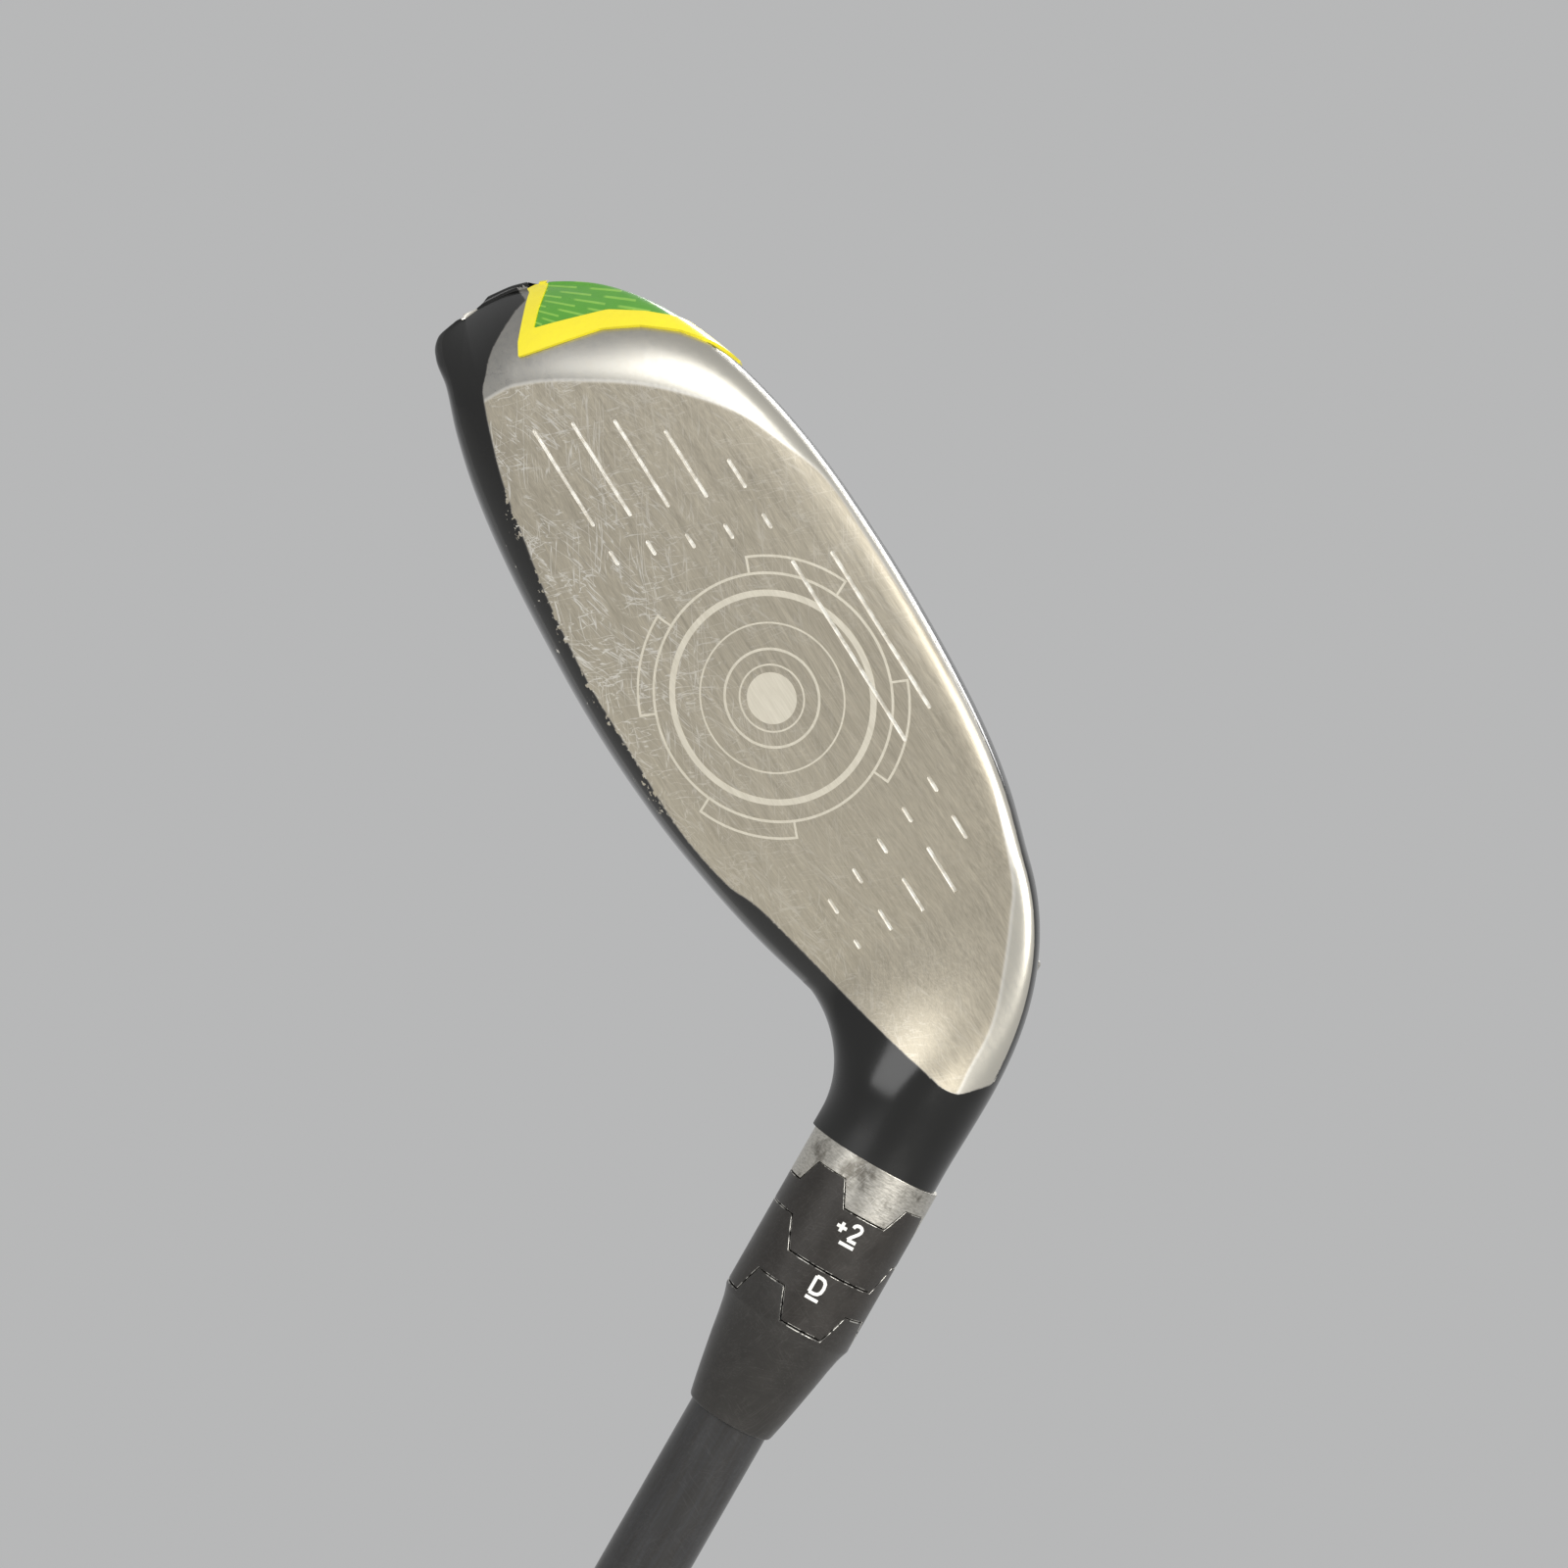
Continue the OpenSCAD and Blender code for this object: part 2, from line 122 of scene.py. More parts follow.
def section(u):
    _, hb, ht, lo, hi, depth, hk = sized(u)
    ys, yt = faceY(u, hb), faceY(u, ht)
    yk = (ys + yt) / 2 + depth
    pts = [(faceY(u, hb + a * (ht - hb)), hb + a * (ht - hb)) for a in (0.02, 0.25, 0.5, 0.75, 0.985)]
    pts += [(yt + (yk - yt) * 0.05, ht + (hi - ht) * 0.85), (yt + (yk - yt) * 0.22, hi + (hi - ht) * 0.12)]
    pts += [(yt + (yk - yt) * a, hk + (hi - hk) * b) for a, b in ((0.52, 0.93), (0.78, 0.56), (0.95, 0.22))]
    pts += [(yk + (yk - yt) * 0.015, hk)]
    pts += [(ys + (yk - ys) * a, lo + (hk - lo) * b)
        for a, b in ((0.94, 0.55), (0.7, 0.17), (0.42, 0), (0.2, -0.02))]
    pts += [(ys + (yk - ys) * 0.045, lo + (hb - lo) * 0.35)]
    return np.array(pts)


ringK = 1 / (2 / 3 + math.cos(math.radians(22.5)) / 3)
ring = np.array([(club["forward"] + hosel["radius"] * ringK * math.cos(math.radians(180 - (j - 2) * 22.5)),
                  headShape["pivotH"] - headShape["axis"]
                  + hosel["radius"] * ringK * math.sin(math.radians(180 - (j - 2) * 22.5)))
                      for j in range(16)])


def guide(s):
    if s <= 1:
        return section(headShape["toe"] - headShape["span"] * s)
    t, q = min(s - 1, 1), min(1.3 * (s - 1), 1)
    e = np.array([q * q * (3 - 2 * q), t * (1 + t - t * t)])
    return section(headShape["pivotU"]) * (1 - e) + ring * e


def curve(c, v):
    i = np.floor(v).astype(int)
    t = (v - i)[:, None]
    return ((1 - t)**3 * c[(i - 1) % 16] + (3 * t**3 - 6 * t**2 + 4) * c[i % 16]
            + (-3 * t**3 + 3 * t**2 + 3 * t + 1) * c[(i + 1) % 16] + t**3 * c[(i + 2) % 16]) / 6


def row(s, v):
    yh = curve(guide(s), v)
    u = headShape["toe"] - headShape["span"] * s if s <= 1 else headShape["pivotU"]
    u *= headShape["reach"] / headShape["toe"] if u > 0 else 1
    f = 0 if s <= 1 else min(s - 1, 1) * math.radians(club["lie"])
    x = (s - 2) * 1.8 if s > 2 else 0
    r = headShape["pivotH"] - yh[:, 1]
    uu = u - r * math.sin(f) - x * math.cos(f)
    hh = headShape["pivotH"] - r * math.cos(f) + x * math.sin(f)
    return np.stack([uu, yh[:, 0], hh], 1)


# points and outward normals over a grid of the head's surface
def surface(stations, places):
    d = 0.003
    rows = places if np.ndim(places) == 2 else [places] * len(stations)

    def swept(ds, dv):
        return np.stack([rounded(row(min(max(s + ds, 0), 3.0), v + dv)) for s, v in zip(stations, rows)])

    n = np.cross(swept(d, 0) - swept(-d, 0), swept(0, 0.03) - swept(0, -0.03))
    n /= np.maximum(np.linalg.norm(n, axis=2, keepdims=True), 1e-12)
    nrm = np.stack([-sl * n[..., 0] - cl * n[..., 2], n[..., 1], cl * n[..., 0] - sl * n[..., 2]], -1)
    pts = np.moveaxis(toClub(*np.moveaxis(swept(0, 0), -1, 0)), 0, -1)
    if ((pts - pts.mean(axis=(0, 1))) * nrm).sum() < 0:
        nrm = -nrm
    return pts, nrm


def addObject(name, data):
    ob = bpy.data.objects.new(name, data)
    scene.collection.objects.link(ob)
    return ob


def meshObject(name, verts, faces):
    me = bpy.data.meshes.new(name)
    me.from_pydata([tuple(float(c) * mm for c in v) for v in verts], [],
        [tuple(int(i) for i in f) for f in faces])
    return addObject(name, me)


# a mesh piece that rides on a CAD body
def makePiece(name, verts, faces, body, nodes=(), slot=None, smooth=True):
    ob = meshObject(name, verts, faces)
    me = ob.data
    me.validate()
    if smooth:
        me.polygons.foreach_set("use_smooth", [True] * len(me.polygons))
    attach(ob, body)
    if nodes:
        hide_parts(*nodes)
    return ob


def tidyMesh(ob, weld=True):
    bm = bmesh.new()
    bm.from_mesh(ob.data)
    if weld:
        bmesh.ops.remove_doubles(bm, verts=bm.verts, dist=1e-7)
    bmesh.ops.recalc_face_normals(bm, faces=bm.faces)
    bm.to_mesh(ob.data)
    bm.free()
    return ob


def applyAll(ob):
    dg = bpy.context.evaluated_depsgraph_get()
    me = bpy.data.meshes.new_from_object(ob.evaluated_get(dg))
    ob.modifiers.clear()
    ob.data = me
    return ob


# rounds the edges sharper than an angle
def soften(ob, width, angle=32):
    b = ob.modifiers.new("edges", "BEVEL")
    b.width = width * mm
    b.segments = 2
    b.limit_method = "ANGLE"
    b.angle_limit = math.radians(angle)
    b.harden_normals = True
    return applyAll(ob)


def subtract(ob, cutter):
    m = ob.modifiers.new("cut", "BOOLEAN")
    m.operation, m.object, m.solver = "DIFFERENCE", cutter, "MANIFOLD"
    applyAll(ob)
    bpy.data.objects.remove(cutter)


def addAttribute(me, name, values, domain="POINT"):
    at = me.attributes.new(name, "FLOAT", domain)
    at.data.foreach_set("value", np.asarray(values, dtype=np.float32))


def polar(r, a, z):
    return (r * math.cos(a), r * math.sin(a), z)


def around(n):
    return [2 * math.pi * k / n for k in range(n)]


# faces between rings of n points; a ring is named by its place in the list of rings
def tube(rings, n):
    rings = list(rings)
    return [(p * n + k, p * n + (k + 1) % n, q * n + (k + 1) % n, q * n + k)
            for p, q in zip(rings[:-1], rings[1:]) for k in range(n)]


# a solid turned round the shaft whose closed (radius, height) profile changes with the angle
def turned(name, profileAt, angles, body, nodes, slot):
    rows = [profileAt(a) for a in angles]
    n, m = len(rows[0]), len(angles)
    verts = [polar(r, a, z) for a, prof in zip(angles, rows) for r, z in prof]
    faces = [(k * n + j, ((k + 1) % m) * n + j, ((k + 1) % m) * n + (j + 1) % n, k * n + (j + 1) % n)
             for k in range(m) for j in range(n)]
    return tidyMesh(makePiece(name, verts, faces, body, nodes, slot))


def lathe(name, profile, body, nodes, slot, segments):
    return turned(name, lambda a: profile, around(segments), body, nodes, slot)


seams = {"crownFront": 4.75, "crownBack": 9.94, "soleFront": 14.78, "heelEnd": 0.985}


# a closed shell over a grid of the head's surface, between two depths under it
def patch(name, stations, places, top, under, body, nodes, slot, closedRound=False):
    pts, nrm = surface(stations, places)
    ns, nv = len(stations), np.shape(places)[-1]
    m = ns * nv
    idx = np.arange(m).reshape(ns, nv)
    verts = np.concatenate([(pts - nrm * top).reshape(-1, 3), (pts - nrm * under).reshape(-1, 3)])
    full = np.concatenate([idx, idx[:, :1]], 1) if closedRound else idx
    quads = np.stack([full[:-1, :-1], full[1:, :-1], full[1:, 1:], full[:-1, 1:]], -1).reshape(-1, 4)
    faces = [tuple(q) for q in quads] + [tuple(q[::-1] + m) for q in quads]
    rims = [] if closedRound else [idx[:, 0][::-1], idx[:, -1]]
    for r in rims + [full[0], full[-1][::-1]]:
        faces += [(r[k], r[k + 1], r[k + 1] + m, r[k] + m) for k in range(len(r) - 1)]
    ob = makePiece(name, verts, faces, body, nodes, slot)
    me = ob.data
    skin = nrm.reshape(-1, 3)
    if sum(p.normal.dot(Vector(skin[p.vertices[0]])) for p in me.polygons[:200] if p.vertices[0] < m) < 0:
        me.flip_normals()
    # normals of the one surface, so that neighbouring pieces shade as one
    normals = []
    for p in me.polygons:
        ids = list(p.vertices)
        if max(ids) < m:
            normals += [tuple(skin[i]) for i in ids]
        elif min(ids) >= m:
            normals += [tuple(-skin[i - m]) for i in ids]
        else:
            normals += [tuple(p.normal)] * len(ids)
    me.normals_split_custom_set(normals)
    return ob


# toe-ward place against height in head coordinates, read off the face's own edges
faceLines = {
    "top": [(53.5, 19.0), (52.6, 21.2), (50.2, 25.2), (48.0, 27.4), (45.6, 29.1), (37.4, 32.0), (29.9, 33.6),
            (22.3, 35.0), (13.2, 36.0), (3.3, 36.2), (-6.8, 36.2), (-14.6, 35.0), (-19.6, 33.1),
            (-33.8, 29.9), (-42.1, 27.7), (-47.1, 26.0), (-48.6, 23.0), (-51.0, 16.0)],
    "flat": [(45.6, 29.1), (44.4, 24.1), (41.1, 18.9), (35.9, 12.5), (28.7, 6.6), (22.3, 3.8), (16.6, 2.0),
             (8.7, 1.7), (-3.9, 1.7), (-11.4, 2.4), (-17.8, 3.3), (-23.3, 5.2), (-30.6, 7.9), (-34.1, 10.3),
             (-38.8, 14.1), (-42.9, 18.0), (-45.6, 22.3), (-49.0, 30.0), (-49.0, 48.0), (46.5, 48.0)],
    "soleEdge": -0.62,
    "badge": [(53.9, 18.2), (53.0, 19.0), (51.0, 20.6), (48.9, 22.3), (47.4, 23.1), (46.6, 20.4),
        (44.8, 13.8), (42.6, 10.0), (39.7, 6.7), (36.6, 4.4), (33.9, 2.9), (30.0, 1.5)],
    "badgeInner": [(53.9, 15.8), (53.0, 16.6), (51.2, 18.4), (49.3, 20.0), (48.6, 18.0), (46.4, 12.0),
        (43.8, 8.6), (40.6, 5.4), (37.2, 3.2), (34.2, 1.9), (30.0, 0.7)],
}


# more points along a smooth curve through the given ones
def rounder(points, closed, steps=6):
    n = len(points)
    p = np.array(points)
    out = []
    for k in range(n if closed else n - 1):
        a, b, c, d = (p[(k + j) % n] if closed else p[min(max(k + j, 0), n - 1)] for j in (-1, 0, 1, 2))
        for t in np.linspace(0, 1, steps, endpoint=False):
            out.append(tuple(0.5 * (2 * b + (c - a) * t + (2 * a - 5 * b + 4 * c - d) * t * t
                + (3 * b - a - 3 * c + d) * t**3)))
    return out if closed else out + [tuple(points[-1])]


faceLines["flat"] = rounder(faceLines["flat"], True)
faceLines["top"] = rounder(faceLines["top"], False)


def lineAt(line, u):
    pts = sorted(faceLines[line])
    return np.interp(u, [p[0] for p in pts], [p[1] for p in pts])


# distance outside a closed outline, in mm; negative inside it
def outside(line, u, h):
    a = np.array(line)
    b = np.roll(a, -1, axis=0)
    q = np.stack([u, h], -1)[..., None, :]
    e = b - a
    t = np.clip(((q - a) * e).sum(-1) / ((e * e).sum(-1) + 1e-12), 0, 1)
    dist = np.sqrt((((q - a) - e * t[..., None]) ** 2).sum(-1)).min(-1)
    u, h = u[..., None], h[..., None]
    cross = ((a[:, 1] > h) != (b[:, 1] > h)) & (
        u < (b[:, 0] - a[:, 0]) * (h - a[:, 1]) / (b[:, 1] - a[:, 1] + 1e-9) + a[:, 0])
    return np.where(cross.sum(-1) % 2 == 1, -dist, dist)


faceRound = {"slope": 0.10, "radius": 9.0, "fade": 16.0, "heelStart": -20.0, "heelEnd": -35.0}


# leans the face's border back, outside its flat, so that it rolls over towards the toe and the sole
def rounded(head):
    u, y, h = head[:, 0], head[:, 1], head[:, 2]
    q = np.maximum(outside(faceLines["flat"], u, h), 0)
    back = faceRound["slope"] * q + q * q / (2 * faceRound["radius"])
    behind = np.clip((y - faceY(u, h)) / faceRound["fade"], 0, 1)
    heel = np.clip((u - faceRound["heelEnd"]) / (faceRound["heelStart"] - faceRound["heelEnd"]), 0, 1)
    out = head.copy()
    out[:, 1] += back * (1 - behind) ** 2 * heel
    return out


# the place round one station where the surface crosses a line in the front view
def fitPlaces(s, line, low, high):
    vv = np.linspace(low, high, 400)
    head = row(s, vv)
    gap = head[:, 2] - lineAt(line, head[:, 0])
    k = np.where(gap[:-1] * gap[1:] <= 0)[0]
    if len(k) == 0:
        return low if abs(gap[0]) < abs(gap[-1]) else high
    j = k[-1]
    return vv[j] + (vv[j + 1] - vv[j]) * gap[j] / (gap[j] - gap[j + 1] + 1e-12)


detail = {"neckStations": 56, "neckPlaces": 200}
toeSpacing = 1 - np.cos(np.linspace(0, np.pi / 2, headShape["stations"]))
headStations = toeSpacing * seams["heelEnd"] / toeSpacing[-1]
cupPlaces = np.concatenate([np.linspace(seams["soleFront"] - 16, 0.35, 44)[:-1],
    np.linspace(0.35, 3.5, 56)[:-1],
                            np.linspace(3.5, seams["crownFront"], 46)])
crownPlaces = np.concatenate([np.linspace(seams["crownFront"], 6.5, 50)[:-1],
                              np.linspace(6.5, seams["crownBack"] - 0.012, 64)])
rearPlaces = np.concatenate([np.linspace(seams["crownBack"], 11.5, 44)[:-1],
    np.linspace(11.5, seams["soleFront"], 70)])
neckStations = np.concatenate([np.linspace(seams["heelEnd"], 2.0, detail["neckStations"])[:-1],
    np.linspace(2, 3, 4)])
neckPlaces = np.linspace(-1.22, 14.78, detail["neckPlaces"] + 1)[:-1]

faceCup = patch("faceCup", headStations, cupPlaces, 0.0, 0.5, "head", ["face_cup"], "face_steel")
crownShell = patch("crownShell", headStations, crownPlaces, 0.0, 0.5, "head", ["crown_shell"], "crown")
rearShell = patch("rearShell", headStations, rearPlaces, 0.0, 0.5, "head", ["head_body"], "body_paint")
neckShell = patch("neckShell", neckStations, neckPlaces, 0.0, 0.5, "head", [], "body_paint", closedRound=True)
print("head shells made")


scoreLines = {
    "pitch": 4.4, "half": 0.23, "deep": 0.26, "first": 7.0,
    "toeLines": [(27.0, 39.5), (25.6, 37.6), (24.0, 35.1), (22.5, 30.9), (21.0, 24.3)],
    "toeDots": [22.6, 21.2, 19.4, 17.9, 16.5], "heelDots": [-23.1, -21.6, -20.2, -18.7, -17.3],
    "heelLines": [(-34.3, -27.7), (-38.4, -26.2), (-37.0, -24.6), (-31.9, -23.1), (-24.1, -21.5)],
    "middle": [(-11.6, 11.2), (-10.0, 9.7)], "dot": 0.75,
}


def skinTree(ob):
    me = ob.data
    me.calc_loop_triangles()
    return BVHTree.FromPolygons([v.co / mm for v in me.vertices], [tuple(p.vertices) for p in me.polygons])


skinTrees = [skinTree(o) for o in (faceCup, neckShell)]


# a point on the face surface straight behind a place in the front view, in mm, and the surface normal
def onFace(u, h, lift=0.0):
    start = Vector(toClub(u, -40.0, h))
    best = None
    for tree in skinTrees:
        hit, n, _, d = tree.ray_cast(start, Vector((0, 1, 0)), 90)
        if hit is not None and (best is None or d < best[2]):
            best = (hit, n, d)
    hit, n = best[0], best[1]
    if n.y > 0:
        n = -n
    return hit + n * lift, n


# round-ended cutters that follow the face along each run of (toe-ward, height) pairs
def capsules(name, runs, half, deep):
    verts, faces = [], []
    for (u0, u1, h) in runs:
        steps = max(3, int(abs(u1 - u0) / 1.5) + 1)
        ringN = 12
        prev = None
        stops = [(u0 - half * 0.98, 0.18)] + [(u0 - half * 0.6, 0.8)] + [(u0 + (u1 - u0) * k / (steps - 1),
            1.0) for k in range(steps)]
        stops += [(u1 + half * 0.6, 0.8), (u1 + half * 0.98, 0.18)]
        for (u, scale) in stops:
            p, n = onFace(u, h)
            up = Vector(toClub(u, 0, h + 1.0) - toClub(u, 0, h)).normalized()
            side = (up - n * up.dot(n)).normalized()
            base = len(verts)
            for k in range(ringN):
                a = 2 * math.pi * k / ringN
                verts.append(p + side * (half * scale * math.cos(a))
                    + n * (deep * (0.25 + scale * 0.75) * math.sin(a)))
            if prev is not None:
                faces += [(prev + k, prev + (k + 1) % ringN, base + (k + 1) % ringN, base + k)
                    for k in range(ringN)]
            else:
                faces.append(tuple(base + k for k in range(ringN))[::-1])
            prev = base
        faces.append(tuple(prev + k for k in range(ringN)))
    return tidyMesh(meshObject(name, verts, faces), weld=False)


def rowHeight(k):
    return midHeight + rowScale * (scoreLines["first"] - scoreLines["pitch"] * k)


runs = []
dot = scoreLines["dot"]
for k in range(5):
    runs += [(*scoreLines[key][k], rowHeight(k)) for key in ("toeLines", "heelLines")]
    runs += [(scoreLines[key][k] - dot, scoreLines[key][k] + dot, rowHeight(k))
        for key in ("toeDots", "heelDots")]
runs += [(*scoreLines["middle"][k], rowHeight(4 + k)) for k in range(2)]


# cuts grooves and keeps the smooth surface's own normals outside them
def cutWith(ob, cutter):
    old = ob.data.copy()
    vertexNormal = [Vector() for v in old.vertices]
    half = len(old.vertices) // 2
    for p in old.polygons:
        if max(p.vertices) < half or min(p.vertices) >= half:
            for i, v in zip(p.loop_indices, p.vertices):
                vertexNormal[v] = old.corner_normals[i].vector.copy()
    tree = BVHTree.FromPolygons([v.co / mm for v in old.vertices], [tuple(p.vertices) for p in old.polygons])
    subtract(ob, cutter)
    me = ob.data
    me.polygons.foreach_set("use_smooth", [True] * len(me.polygons))
    normals = [None] * len(me.loops)
    groove = [0.0] * len(me.polygons)
    for p in me.polygons:
        _, n, k, dist = tree.find_nearest(p.center / mm)
        skinFace = dist is not None and dist < 0.012 and abs(n.dot(p.normal)) > 0.96
        for i, corner in zip(p.loop_indices, p.vertices):
            t = Vector()
            if skinFace:
                q = me.vertices[corner].co / mm
                for v in old.polygons[k].vertices:
                    t += vertexNormal[v] / ((old.vertices[v].co / mm - q).length + 1e-5)
            normals[i] = tuple(t.normalized() if t.length > 0 else p.normal)
        groove[p.index] = 0.0 if skinFace else 1.0
    me.normals_split_custom_set(normals)
    addAttribute(me, "groove", groove, "FACE")


cutWith(faceCup, capsules("grooveCutter", runs, scoreLines["half"], scoreLines["deep"]))
print("score lines cut")

etched = {
    "rings": [(3.75, 0.20), (5.5, 0.30), (8.4, 0.20), (11.7, 0.72), (13.9, 0.30)],
    "disc": 2.9, "bracketRadius": 15.8, "bracketWide": 0.28, "bracketHalf": 21.5,
    "bracketAt": (45, 135, 225, 315),
    "lift": 0.012, "depth": 0.03, "legFrom": 14.05,
}


def onFaceDisc(radius, angle, lift):
    u = radius * math.cos(angle)
    h = midHeight + rowScale * radius * math.sin(angle)
    return onFace(u, h, lift)[0]


# adds a thin raised band between an inner and an outer run of (radius, angle)
def addBand(verts, faces, inner, outer, closed):
    base, n = len(verts), len(inner)
    for (ri, ai), (ro, ao) in zip(inner, outer):
        verts += [onFaceDisc(r, a, lift) for lift in (etched["lift"], -etched["depth"])
            for r, a in ((ri, ai), (ro, ao))]
    for k in range(n if closed else n - 1):
        a, b = base + 4 * k, base + 4 * ((k + 1) % n)
        faces += [(a, b, b + 1, a + 1), (a + 2, a + 3, b + 3, b + 2), (a, a + 2, b + 2, b),
            (a + 1, b + 1, b + 3, a + 3)]
    if not closed:
        e = base + 4 * (n - 1)
        faces += [(base, base + 1, base + 3, base + 2), (e, e + 2, e + 3, e + 1)]


verts, faces = [], []
turn = np.linspace(0, 2 * math.pi, 145)[:-1]
circles = [(radius - wide / 2, radius + wide / 2)
    for radius, wide in etched["rings"]] + [(0.02, etched["disc"])]
for low, high in circles:
    addBand(verts, faces, [(low, a) for a in turn], [(high, a) for a in turn], True)
w, r = etched["bracketWide"] / 2, etched["bracketRadius"]
half = math.radians(etched["bracketHalf"])
for mid in etched["bracketAt"]:
    arc = np.linspace(math.radians(mid) - half, math.radians(mid) + half, 28)
    addBand(verts, faces, [(r - w, a) for a in arc], [(r + w, a) for a in arc], False)
    for a in (arc[0], arc[-1]):
        d = w / r
        legs = [[(etched["legFrom"], a + s), (r + w, a + s)] for s in (-d, d)]
        addBand(verts, faces, *legs, False)
targetRings = tidyMesh(makePiece("targetRings", verts, faces, "head", slot="face_steel", smooth=False))
subtract(targetRings, capsules("grooveAgain", runs[-2:], scoreLines["half"], scoreLines["deep"]))
print("rings etched")

badge = {"top": -0.16, "under": 0.35, "rimTop": -0.34, "back": -4.58, "toe": 0.0215, "heel": 0.262}


# a shell on the head between two edges that wander round the section from station to station
def ribbon(name, low, high, n, top, node, slot):
    t = np.linspace(0, 1, n)
    t = t * t * (3 - 2 * t) * 0.4 + t * 0.6
    places = np.array([a + (b - a) * t for a, b in zip(low, high)])
    return patch(name, badgeStations, places, top, badge["under"], "head", [node], slot)


badgeStations = np.linspace(badge["toe"] ** 0.5, badge["heel"] ** 0.5, 110) ** 2
front = np.array([fitPlaces(s, "badge", -3.0, 2.6) for s in badgeStations])
inner = np.array([fitPlaces(s, "badgeInner", -3.4, 2.6) for s in badgeStations])
back = np.full(len(badgeStations), badge["back"])
rimFrame = ribbon("badgeRim", inner, front, 12, badge["rimTop"], "badge_rim", "badge_rim")
toeBadge = ribbon("toeBadge", back, inner - 0.004, 70, badge["top"], "toe_badge", "badge")
print("badge made")

# count, width at the tip and width at the root in degrees
teeth = {"four": (4, 38.0, 60.0), "two": (2, 84.0, 113.0), "angles": 200, "edge": 0.16, "gap": 0.09}


# how far a tooth reaches below its ring's edge at one angle round the shaft, in mm
def toothDepth(kind, angle, depth, grow=0.0):
    count, tip, base = teeth[kind]
    step = 360.0 / count
    a = (math.degrees(angle) + 90.0 - hosel["turn"]) % step
    a = min(a, step - a)
    g = math.degrees(grow / hosel["radius"])
    hi, lo = base / 2 + g, tip / 2 + g
    return (depth + grow) * min(max((hi - a) / (hi - lo), 0), 1)


def toothAngles(kinds):
    out = set(round(2 * math.pi * k / teeth["angles"], 6) for k in range(teeth["angles"]))
    corners = set()
    for kind, grow in kinds:
        count, tip, base = teeth[kind]
        g = math.degrees(grow / hosel["radius"])
        for k in range(count):
            for half in (tip / 2 + g, base / 2 + g):
                for sign in (-1, 1):
                    corners.add(round(math.radians((k * 360.0 / count - 90.0 + hosel["turn"]
                        + sign * half) % 360), 6))
    keep = [a for a in out if all(abs(a - c) > 0.012 for c in corners)]
    return sorted(keep + list(corners))


# marks the small slanted faces along edges, where paint wears through
def edgeWear(ob, low=0.16, high=0.93):
    vals = []
    for p in ob.data.polygons:
        c, n = p.center, p.normal
        radial = Vector((c.x, c.y, 0)).normalized()
        ar, az = abs(n.dot(radial)), abs(n.z)
        side = math.sqrt(max(0.0, 1 - ar * ar - az * az))
        slanted = sum(1 for q in (ar, az, side) if low < q < high) >= 2
        vals.append(1.0 if slanted and p.area < 4e-7 and c.z / mm > zLie - 6 else 0.0)
    addAttribute(ob.data, "edgeWear", vals, "FACE")


def ringSkin(zLow, ownKind, ownDepth, zHigh, topKind, topDepth, inner):
    def at(a):
        lo = zLow - (toothDepth(ownKind, a, ownDepth) if ownKind else 0)
        hi = zHigh - (toothDepth(topKind, a, topDepth, teeth["gap"]) if topKind else 0)
        r = hosel["radius"]
        return [(inner, lo), (r, lo), (r, hi), (inner, hi)]
    return at


hoselRing = turned("hoselRing", ringSkin(zHead, "four", hosel["headTooth"], zHead + 2.86, None, 0,
    hosel["bore"]),
                   toothAngles([("four", 0)]), "head", ["hosel_tube"], "bare_steel")
loftRing = turned("loftRing", ringSkin(zLoft + 0.04, "two", hosel["cogTooth"], zHead - 0.05, "four",
    hosel["headTooth"], hosel["bore"]),
                  toothAngles([("two", 0), ("four", teeth["gap"])]), "first_cog", ["loft_cog"], "cog")
lieRing = turned("lieRing", ringSkin(zLie + 0.04, "four", hosel["cogTooth"], zLoft - 0.05, "two",
    hosel["cogTooth"], hosel["bore"]),
                 toothAngles([("four", 0), ("two", teeth["gap"])]), "second_cog", ["lie_cog"], "cog")
zFerr = z0 - 32.3


def ferruleAt(a):
    hi = zLie - 0.05 - toothDepth("four", a, hosel["cogTooth"], teeth["gap"])
    r = hosel["radius"]
    taper = [(4.80, zFerr), (5.08, zFerr), (5.22, zFerr + 0.35), (5.66, zFerr + 2.4), (6.12, zFerr + 4.8),
        (6.6, zFerr + 7.4), (7.0, zFerr + 9.8), (7.32, zFerr + 11.4), (7.52, zFerr + 12.1),
        (7.66, zFerr + 12.5), (r, zFerr + 12.9)]
    return taper + [(r, hi), (5.6, hi), (5.6, z0 - 24.1), (4.8, z0 - 24.1)]


ferrule = turned("ferrule", ferruleAt, toothAngles([("four", teeth["gap"])]), "club", ["ferrule"], "ferrule")
for ob in (hoselRing, loftRing, lieRing, ferrule):
    edgeWear(soften(ob, teeth["edge"], 28))
hoselLiner = lathe("hoselLiner", [
    (5.55, zHead + 0.4), (6.8, zHead + 0.4), (6.8, zHead + 9.6), (6.15, zHead + 10.0), (6.15, zPort - 1.0),
    (5.1, zPort - 0.6), (5.1, zTube - 0.3), (4.85, zTube), (4.6, zTube), (4.4, zTube - 0.25), (4.4, zPort),
    (2.8, zPort), (2.8, zWeb), (5.55, zWeb)],
    "head", [], "bare_steel", 96)
soften(hoselLiner, 0.12)
print("hosel rings made")

